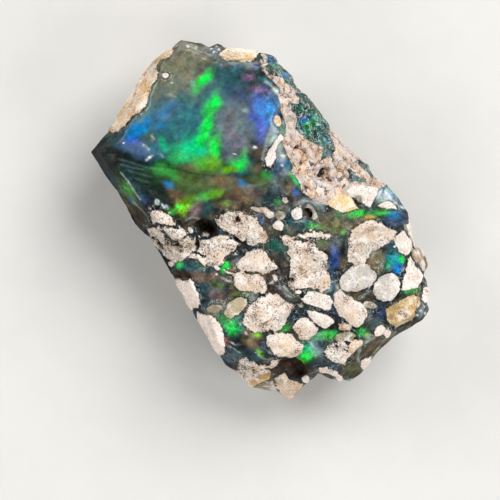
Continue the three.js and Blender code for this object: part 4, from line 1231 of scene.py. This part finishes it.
# Straight ramps on a noise or a map: what each reads, from where to where, and what it gives.
RAMPS = {
    "clast_fray": ("porous", 0.0, 0.6, 0.2, 0.6),  # mm, how far an outline strays
    "clast_rust": ("hole", 0.5, 0.66, 0.0, 0.5),
    "clast_chalk": ("veil", 0.46, 0.62, 0.0, 0.65),
    "clast_tone": ("tone", 0.3, 0.7, 1.03, 1.22),
    "clast_grain": ("grain", 0.37, 0.63, 0.73, 1.17),
    "mottle_swing": ("gloss", 0.0, 1.0, 0.7, 0.34),
    "fleck_tone": ("fleck", 0.35, 0.65, 0.76, 1.24),
    "thread_gaps": ("fleck", 0.38, 0.5, 0.0, 0.9),
    "thread_places": ("tone", 0.44, 0.58, 0.1, 1.0),
    "seam_places": ("tone", 0.42, 0.58, 0.3, 0.9),
    "crack_gaps": ("veil", 0.44, 0.58, 0.1, 1.0),
    "net_gaps": ("fray", 0.44, 0.54, 0.0, 1.0),
    "net_milk": ("mottle", 0.61, 0.67, 0.0, 0.85),
    "break_dullness": ("fleck", 0.38, 0.62, 0.14, 0.4),
    "frost_dullness": ("frost", 0.0, 1.0, 0.0, 0.6),
    "steep_dullness": ("steep", 0.0, 1.0, 0.0, 0.7),
    "opal_relief": ("gloss", 0.0, 1.0, 0.15, 0.012),
}
# Levels of the other ramps: from, to, and what the ramp gives at each.
FINE_PORE_LEVELS = (0.955, 1.03, 0.0, 0.8)
WIDE_PORE_LEVELS = (0.7, 0.78, 0.0, 0.9)
MOTTLE_LEVELS = (0.59, 0.91, -1.0, 1.0)
NEAR_CLAST_LEVELS = (-0.5, -0.03, 0.0, 1.0)
MIST_LEVELS = (1.08, 1.2, 0.0, 0.75)
SEAM_LEVELS = (-SEAM_WIDTH, -0.01, 0.0, 1.0)
CHUNK_TONE_LEVELS = (0.0, 1.0, 0.98, 1.26)
CHUNK_CRACK_LEVELS = (0.0, 0.1, 0.9, 0.0)
CHUNK_DOME_LEVELS = (0.0, 0.3, 0.0, 0.2)
HOLLOW_LEVELS = (0.6, 0.68, 0.0, 0.85)
TUFF_RUST_LEVELS = (0.52, 0.68, 0.0, 0.3)
SOAKED_BLUE_LEVELS = (0.7, 1.0, 0.0, 0.6)
SOAKED_TONE_LEVELS = (0.0, 1.0, 0.3, 1.9)
NET_LEVELS = (0.01, 0.08, 1.0, 0.0)
CRUMB_RADIUS_LEVELS = (0.7, 1.0, -0.3, 0.34)
CRUMB_EDGE_LEVELS = (-0.02, 0.05, 0.0, 0.8)
CLAST_EDGE_LEVELS = (-0.03, 0.03, 0.0, 1.0)
TUFF_EDGE_LEVELS = (0.85, 1.05, 0.0, 1.0)
# the pits' brown rim, partly the stone's own brown and partly painted shade, and their painted
# shade
PIT_BROWN_AND_SHADE_LEVELS = (1.55, 1.9, 0.0, 0.75)
PIT_SHADE_LEVELS = (1.85, 2.25, 0.0, 0.92)
COAT_LEVELS = (0.0, 1.0, OPAL_COAT, 0.0)


def surface_values(add, place):
    """What the layers read: the mesh's maps, the noises, and the straight ramps on them."""
    value = {}
    for name in MAPS:
        outputs = add("Attribute", {"attribute_name": name}).outputs
        value[name] = outputs["Color" if name in COLOUR_MAPS else "Fac"]
        if name == "clast_colour":
            value["porous"] = outputs["Alpha"]
    combed = add("VectorMath", TIMES, (place, COMB))
    noises = {name: (place, *row) for name, row in NOISES.items()}
    noises["streak"] = (combed, *COMBED_NOISE)
    for name, (where, size, layers, roughness) in noises.items():
        value[name] = add("TexNoise", links={
            "Vector": where, "Scale": 1 / size, "Detail": layers, "Roughness": roughness})
    for name, (source, *levels) in RAMPS.items():
        value[name] = add("MapRange", links=(value[source], *levels))
    return value


def pumice_layer(add, value):
    """Pumice: the clast's colour, stained and toned, with pores. Gives colour, pores, shade."""
    colour = value["clast_colour"]
    for share, paint in (("clast_rust", PUMICE_RUST), ("clast_chalk", PUMICE_CHALK)):
        colour = add("Mix", COLOURS, {"Factor": value[share], "A": colour, "B": linear(paint)})
    shade = add("Math", TIMES, (value["clast_tone"], value["clast_grain"]))
    colour = add("VectorMath", SCALED, {0: colour, "Scale": shade})
    own, clustered = FINE_PORES
    crowd = add("Math", TIMES_PLUS, (value["porous"], own, value["pore"]))
    crowd = add("Math", TIMES_PLUS, (value["cluster"], clustered, crowd))
    fine = add("MapRange", STEP, (crowd, *FINE_PORE_LEVELS))
    crowd = add("Math", TIMES_PLUS, (value["porous"], WIDE_PORES, value["hole"]))
    wide = add("MapRange", STEP, (crowd, *WIDE_PORE_LEVELS))
    pore = add("Math", LARGER, (fine, wide))
    colour = add("Mix", COLOURS, {"Factor": pore, "A": colour, "B": linear(PUMICE_PORE)})
    return colour, pore, shade


def opal_layer(add, value, frayed):
    """Opal: mottled and flecked, veiled by pale threads near the clasts, dark at the seam.

    A thread runs where the veil noise is near its middle value. Gives colour and nearness.
    """
    mottle = add("Math", TIMES_PLUS, (value["streak"], STREAKS, value["mottle"]))
    mottle = add("MapRange", links=(mottle, *MOTTLE_LEVELS))
    mottle = add("Math", TIMES_PLUS, (mottle, value["mottle_swing"], 1.0))
    milky = add("Math", TIMES, (value["gloss"], WINDOW_MILK))
    fleck = add("Mix", links={"Factor": milky, "A": value["fleck_tone"], "B": 1.0})
    shade = add("Math", TIMES, (mottle, fleck))
    colour = add("VectorMath", SCALED, {0: value["opal_colour"], "Scale": shade})
    play = add("VectorMath", TIMES_PLUS, (
        value["stain"].outputs["Color"], (FIRE_PLAY,) * 3, (1 - FIRE_PLAY / 2,) * 3))
    colour = add("VectorMath", TIMES, (colour, play))

    near = add("MapRange", STEP, (frayed, *NEAR_CLAST_LEVELS))
    middle, margin = THREAD
    thread = add("Math", {"operation": "COMPARE"}, (value["veil"], middle, margin))
    for name in ("thread_gaps", "thread_places"):
        thread = add("Math", TIMES, (thread, value[name]))
    mist = add("Math", TIMES_PLUS, (value["fleck"], MIST_FLECK, value["cluster"]))
    mist = add("MapRange", links=(mist, *MIST_LEVELS))
    veil = add("Math", LARGER, (thread, mist))
    veil = add("Math", TIMES, (veil, near))
    colour = add("Mix", COLOURS, {"Factor": veil, "A": colour, "B": linear(OPAL_VEIL)})

    seam = add("MapRange", STEP, (frayed, *SEAM_LEVELS))
    seam = add("Math", TIMES, (seam, value["seam_places"]))
    light = add("Math", TIMES_PLUS, (seam, -SEAM_SHADE, 1.0))
    return add("VectorMath", SCALED, {0: colour, "Scale": light}), near


def broken_cells(add, value, place, jog):
    """Where cells of broken grains lie: the place, jogged by a noise so that none is regular."""
    jog = add("VectorMath", SCALED, {0: value["stain"].outputs["Color"], "Scale": jog})
    return add("VectorMath", {"operation": "ADD"}, (place, jog))


def tuff_layer(add, value, place, shade):
    """Tuff: a colour for each crumb, rusty fissures and hollows. Gives colour and height."""
    jogged = broken_cells(add, value, place, CHUNK_JOG)
    crumbs = add("TexVoronoi", links={"Vector": jogged, "Scale": 1 / CRUMB_SIZE})
    chunks = add("TexVoronoi", links={"Vector": jogged, "Scale": 1 / CHUNK_SIZE})
    gap = add("TexVoronoi", TO_EDGE,
              {"Vector": jogged, "Scale": 1 / CHUNK_SIZE}).outputs["Distance"]
    number = add("SeparateColor", links={"Color": crumbs.outputs["Color"]})
    ramp = add("ValToRGB", links={"Fac": number})
    ramp.color_ramp.interpolation = "CONSTANT"
    ramp.color_ramp.elements.remove(ramp.color_ramp.elements[-1])
    ramp.color_ramp.elements[0].color = linear(CRUMB_PAINTS[0])
    for index, paint in enumerate(CRUMB_PAINTS[1:], 1):
        stop = ramp.color_ramp.elements.new(index / len(CRUMB_PAINTS))
        stop.color = linear(paint)
    number = add("SeparateColor", links={"Color": chunks.outputs["Color"]})
    tone = add("MapRange", links=(number, *CHUNK_TONE_LEVELS))
    tone = add("Math", TIMES, (tone, shade))
    colour = add("VectorMath", SCALED, {0: ramp, "Scale": tone})

    crack = add("MapRange", STEP, (gap, *CHUNK_CRACK_LEVELS))
    crack = add("Math", TIMES, (crack, value["crack_gaps"]))
    hollow = add("MapRange", STEP, (value["stain"], *HOLLOW_LEVELS))
    depth = add("Math", LARGER, (crack, hollow))
    rusty = add("MapRange", STEP, (value["cluster"], *TUFF_RUST_LEVELS))
    for share, paint in ((rusty, TUFF_RUST), (depth, FISSURE)):
        colour = add("Mix", COLOURS, {"Factor": share, "A": colour, "B": linear(paint)})
    height = add("MapRange", links=(gap, *CHUNK_DOME_LEVELS))
    height = add("Math", TIMES_PLUS, (hollow, -HOLLOW_SINK, height))
    return colour, height


def soaked_layer(add, value, place):
    """Tuff that clear opal soaked: teal cells in a pale, broken net. Gives colour."""
    dark, green, blue = SOAKED_GROUND
    jogged = broken_cells(add, value, place, NET_JOG)
    grains = add("TexVoronoi", links={"Vector": jogged, "Scale": 1 / NET_SIZE})
    gap = add("TexVoronoi", TO_EDGE, {"Vector": jogged, "Scale": 1 / NET_SIZE}).outputs["Distance"]
    number = add("SeparateColor", links={"Color": grains.outputs["Color"]})
    one, other, _ = number.outputs
    greenish = add("Math", TIMES, (one, one))
    bluish = add("MapRange", links=(other, *SOAKED_BLUE_LEVELS))
    colour = linear(dark)
    for share, paint in ((greenish, linear(green)), (bluish, linear(blue)),
                         (SOAKED_OPAL, value["opal_colour"])):
        colour = add("Mix", COLOURS, {"Factor": share, "A": colour, "B": paint})
    tone = add("MapRange", links=(other, *SOAKED_TONE_LEVELS))
    colour = add("VectorMath", SCALED, {0: colour, "Scale": tone})
    net = add("MapRange", STEP, (gap, *NET_LEVELS))
    net = add("Math", TIMES, (net, value["net_gaps"]))
    net = add("Math", LARGER, (net, value["net_milk"]))
    return add("Mix", COLOURS, {"Factor": net, "A": colour, "B": linear(SOAKED_NET)})


def crumb_mask(add, place, near):
    """Crumbs of pumice in the opal: small discs round random cells' middles, near clasts."""
    crumbs = add("TexVoronoi", links={"Vector": place, "Scale": 1 / OPAL_CRUMB_SIZE})
    chosen = add("SeparateColor", links={"Color": crumbs.outputs["Color"]})
    radius = add("MapRange", links=(chosen, *CRUMB_RADIUS_LEVELS))
    radius = add("Math", TIMES, (radius, near))
    inner = add("Math", {"operation": "SUBTRACT"}, (radius, crumbs.outputs["Distance"]))
    return add("MapRange", STEP, (inner, *CRUMB_EDGE_LEVELS))


def new_material(name):
    """An empty node material, and a function that adds a node to it."""
    material = bpy.data.materials.new(name)
    material.use_nodes = True
    material.node_tree.nodes.clear()
    return material, functools.partial(add_node, material.node_tree)


def pumice_in_opal(look):
    """Rough precious opal that cements altered pumice and a band of tuff sand.

    Where each lies comes from the mesh's maps, and noise frays every outline. All sizes
    are in mm.
    """
    material, add = new_material("rough_opal_in_pumice")
    coords = add("TexCoord")
    place = add("VectorMath", SCALED, {0: coords.outputs["Object"], "Scale": 1 / MM})
    value = surface_values(add, place)

    stray = add("Math", {"operation": "SUBTRACT"}, (value["fray"], 0.5))
    frayed = add("Math", TIMES_PLUS, (stray, value["clast_fray"], value["clast_edge"]))
    pumice, pore, shade = pumice_layer(add, value)
    opal, near = opal_layer(add, value, frayed)
    tuff, tuff_height = tuff_layer(add, value, place, shade)
    soaked = soaked_layer(add, value, place)

    clast = add("MapRange", STEP, (frayed, *CLAST_EDGE_LEVELS))
    clast = add("Math", LARGER, (clast, crumb_mask(add, place, near)))
    shares = []
    for name in ("sand", "glassy_sand"):
        ragged = add("Math", TIMES_PLUS, (value["stain"], TUFF_FRAY, value[name]))
        shares.append(add("MapRange", STEP, (ragged, *TUFF_EDGE_LEVELS)))
    on_tuff, on_soaked = shares
    # The pits: a brown rim, partly the stone's own brown and partly painted shade, round near-black
    # painted shade.
    pit = add("Math", TIMES_PLUS, (value["fray"], PIT_FRAY, value["shade"]))
    rusty = add("MapRange", STEP, (pit, *PIT_BROWN_AND_SHADE_LEVELS))
    dark = add("MapRange", STEP, (pit, *PIT_SHADE_LEVELS))

    # Each material over the last, then the pits' brown rim and their painted shade.
    colour = opal
    for share, layer in ((on_tuff, tuff), (on_soaked, soaked), (clast, pumice),
                         (rusty, linear(FISSURE)), (dark, linear(PIT_SHADE))):
        colour = add("Mix", COLOURS, {"Factor": share, "A": colour, "B": layer})
    dullness = add("Mix", links={
        "Factor": value["gloss"], "A": value["break_dullness"], "B": look.opal_roughness})
    for name in ("frost_dullness", "steep_dullness"):
        dullness = add("Math", LARGER, (dullness, value[name]))
    for share, layer in ((on_tuff, TUFF_DULLNESS), (on_soaked, SOAKED_DULLNESS),
                         (clast, PUMICE_DULLNESS)):
        dullness = add("Mix", links={"Factor": share, "A": dullness, "B": layer})
    coat = add("Math", LARGER, (clast, on_tuff))
    coat = add("MapRange", links=(coat, *COAT_LEVELS))
    coat = add("Math", TIMES, (coat, value["gloss"]))

    pumice_relief = add("Math", TIMES_PLUS, (pore, -PORE_SINK, PUMICE_LEVEL))
    pumice_relief = add("Math", TIMES_PLUS, (value["grain"], PUMICE_GRAIN, pumice_relief))
    tuff_relief = add("Math", TIMES_PLUS, (value["grain"], TUFF_GRAIN, tuff_height))
    relief = add("Math", TIMES, (value["mottle"], value["opal_relief"]))
    for share, layer in ((on_tuff, tuff_relief), (clast, pumice_relief)):
        relief = add("Mix", links={"Factor": share, "A": relief, "B": layer})
    bump = add("Bump", links={"Strength": 1.0, "Distance": MM, "Height": relief})

    shader = add("BsdfPrincipled", links={
        "Base Color": colour, "Roughness": dullness, "IOR": OPAL_IOR,
        "Specular IOR Level": OPAL_SPECULAR, "Normal": bump,
        "Coat Weight": coat, "Coat Roughness": OPAL_COAT_ROUGHNESS, "Coat IOR": OPAL_IOR})
    add("OutputMaterial", links={"Surface": shader})
    return material


# Studio card is pressed paper pulp, dull and even.
CARD_DULLNESS = 0.9
CARD_TONE = (0.0, 1.0, 0.97, 1.03)
PULP_SIZE = 2 * MM


def seamless_card(look):
    """Matt studio card: pale, even and dull, with a faint mottle from its pulp."""
    material, add = new_material("matt_studio_card")
    coords = add("TexCoord")
    pulp = add("TexNoise", links={
        "Vector": coords.outputs["Object"], "Scale": 1 / PULP_SIZE, "Detail": 3})
    tone = add("MapRange", links=(pulp, *CARD_TONE))
    colour = add("VectorMath", SCALED, {0: tuple(look.floor_colour), "Scale": tone})
    shader = add("BsdfPrincipled", links={"Base Color": colour, "Roughness": CARD_DULLNESS})
    add("OutputMaterial", links={"Surface": shader})
    return material


# Where the surround dims, by how steeply one looks up, and how bright it is overhead.
SKY_BAND = (0.35, 0.8)
SKY_TOP = 0.12


def studio_sky(look):
    """A soft surround: dim overhead, where the gloss would mirror it, and pale round about."""
    world = bpy.data.worlds.new("studio_surround")
    world.use_nodes = True
    world.node_tree.nodes.clear()
    add = functools.partial(add_node, world.node_tree)
    coords = add("TexCoord")
    height = add("SeparateXYZ", links={"Vector": coords.outputs["Generated"]})
    glow = add("MapRange", STEP, (
        height.outputs["Z"], *SKY_BAND, look.surround, look.surround * SKY_TOP))
    light = add("Background", links={"Color": (1.0, 1.0, 1.0, 1.0), "Strength": glow})
    add("OutputWorld", links={"Surface": light})
    return world


def aim(holder, azimuth, elevation, distance):
    """Places a light on a sphere about the stone and turns it to face the middle.

    The azimuth is measured on the sketch, from its right towards its top.
    """
    turn = math.radians(azimuth) + SKETCH_TURN
    lift = math.radians(elevation)
    holder.location = (distance * math.cos(turn) * math.cos(lift),
                       distance * math.sin(turn) * math.cos(lift), distance * math.sin(lift))
    holder.rotation_euler = (math.pi / 2 - lift, 0, turn + math.pi / 2)


class OpalStoneLook(bpy.types.PropertyGroup):
    """Sizes and colours of the stone."""

    length: bpy.props.FloatProperty(
        name="Length", description="Longest side of the stone",
        default=STONE_LENGTH * MM, min=0.001, unit="LENGTH")
    clast_rise: bpy.props.FloatProperty(
        name="Clast Rise", description="How far the pumice stands out of the opal",
        default=0.07 * MM, min=0.0, unit="LENGTH")
    body_colour: bpy.props.FloatVectorProperty(
        name="Body Colour", description="Colour of the opal where it shows no fire",
        default=linear(OPAL_PAINTS["body"])[:3], min=0.0, max=1.0, subtype="COLOR")
    opal_roughness: bpy.props.FloatProperty(
        name="Opal Roughness", description="How dull the broken opal is under its gloss",
        default=0.2, min=0.0, max=1.0, subtype="FACTOR")


class OpalStageLook(bpy.types.PropertyGroup):
    """Sizes, colours and light of the stage."""

    floor_width: bpy.props.FloatProperty(
        name="Floor Width", description="Side of the square floor",
        default=3.0, min=0.1, unit="LENGTH")
    floor_colour: bpy.props.FloatVectorProperty(
        name="Floor Colour", description="Colour of the card that the stone lies on",
        default=linear("#DCDAD6")[:3], min=0.0, max=1.0, subtype="COLOR")
    camera_height: bpy.props.FloatProperty(
        name="Camera Height", description="Height of the camera over the floor",
        default=0.3, min=0.05, unit="LENGTH")
    key_power: bpy.props.FloatProperty(
        name="Key Power", description="Power of the main soft light",
        default=0.9, min=0.0, unit="POWER")
    fill_power: bpy.props.FloatProperty(
        name="Fill Power", description="Power of each fill light",
        default=0.36, min=0.0, unit="POWER")
    surround: bpy.props.FloatProperty(
        name="Surround", description="Brightness of the room near the horizon",
        default=0.2, min=0.0)


class OPAL_OT_add_stone(bpy.types.Operator):
    """Add the rough opal, one closed piece that stands for its node"""

    bl_idname = "opal.add_stone"
    bl_label = "Rough Opal"

    def execute(self, context):
        look = context.scene.opal_stone
        stone = bpy.data.objects.new("rough_black_opal", opal_stone_mesh(look))
        context.scene.collection.objects.link(stone)
        stone.data.materials.append(pumice_in_opal(look))
        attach(stone, STONE_BODY)
        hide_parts(STONE_NODE)
        return {"FINISHED"}


# Each light: azimuth and elevation in degrees, distance and side in metres.
KEY_LIGHT = (48, 46, 0.30, 0.20)
FILL_LIGHTS = ((240, 27, 0.30, 0.16), (328, 34, 0.30, 0.16), (150, 32, 0.30, 0.16))
# The camera looks straight down on the middle of the sketch, which this width just fills.
VIEW_MIDDLE = (250, 250)
VIEW_SQUARES = 500
VIEW_LEVEL = 6.0 * MM
SENSOR = 36.0
CLIP_START = 0.01


class OPAL_OT_add_stage(bpy.types.Operator):
    """Add the floor, the lights, the surround and the camera"""

    bl_idname = "opal.add_stage"
    bl_label = "Stage"

    def execute(self, context):
        look = context.scene.opal_stage
        half = look.floor_width / 2
        mesh = bpy.data.meshes.new("card")
        mesh.from_pydata([(-half, -half, 0), (half, -half, 0), (half, half, 0), (-half, half, 0)],
                         [], [(0, 1, 2, 3)])
        floor = bpy.data.objects.new("studio_floor", mesh)
        context.scene.collection.objects.link(floor)
        mesh.materials.append(seamless_card(look))

        lights = [("key_light", KEY_LIGHT, look.key_power)]
        lights += [(f"fill_light_{n}", row, look.fill_power) for n, row in enumerate(FILL_LIGHTS)]
        for name, (azimuth, elevation, distance, side), power in lights:
            lamp = bpy.data.lights.new(name, "AREA")
            lamp.size = side
            lamp.energy = power
            holder = bpy.data.objects.new(name, lamp)
            context.scene.collection.objects.link(holder)
            aim(holder, azimuth, elevation, distance)
        context.scene.world = studio_sky(look)
        context.scene.view_settings.view_transform = "Standard"

        camera = bpy.data.cameras.new("camera")
        camera.sensor_width = SENSOR
        camera.lens = SENSOR * (look.camera_height - VIEW_LEVEL) / (VIEW_SQUARES * SQUARE * MM)
        camera.clip_start = CLIP_START
        eye = bpy.data.objects.new("camera", camera)
        context.scene.collection.objects.link(eye)
        eye.location = (*(on_stone(VIEW_MIDDLE) * MM), look.camera_height)
        eye.rotation_euler = (0, 0, SKETCH_TURN)
        context.scene.camera = eye
        return {"FINISHED"}


class VIEW3D_PT_opal(bpy.types.Panel):
    """Lists the stone and its stage"""

    bl_label = "Rough Black Opal"
    bl_space_type = "VIEW_3D"
    bl_region_type = "UI"
    bl_category = "Opal"

    def draw(self, context):
        scene = context.scene
        for operator, look in ((OPAL_OT_add_stone, scene.opal_stone),
                               (OPAL_OT_add_stage, scene.opal_stage)):
            box = self.layout.box()
            for name in look.__annotations__:
                box.prop(look, name)
            box.operator(operator.bl_idname)


CLASSES = (OpalStoneLook, OpalStageLook, OPAL_OT_add_stone, OPAL_OT_add_stage, VIEW3D_PT_opal)


def register():
    """Makes the settings, the operators and the panel known."""
    for item in CLASSES:
        bpy.utils.register_class(item)
    bpy.types.Scene.opal_stone = bpy.props.PointerProperty(type=OpalStoneLook)
    bpy.types.Scene.opal_stage = bpy.props.PointerProperty(type=OpalStageLook)


def unregister():
    """Takes them away again, in the opposite order."""
    del bpy.types.Scene.opal_stage
    del bpy.types.Scene.opal_stone
    for item in reversed(CLASSES):
        bpy.utils.unregister_class(item)


def main():
    """Builds the stage and the stone."""
    register()
    bpy.ops.opal.add_stage()
    bpy.ops.opal.add_stone()


if __name__ == "__main__":
    main()
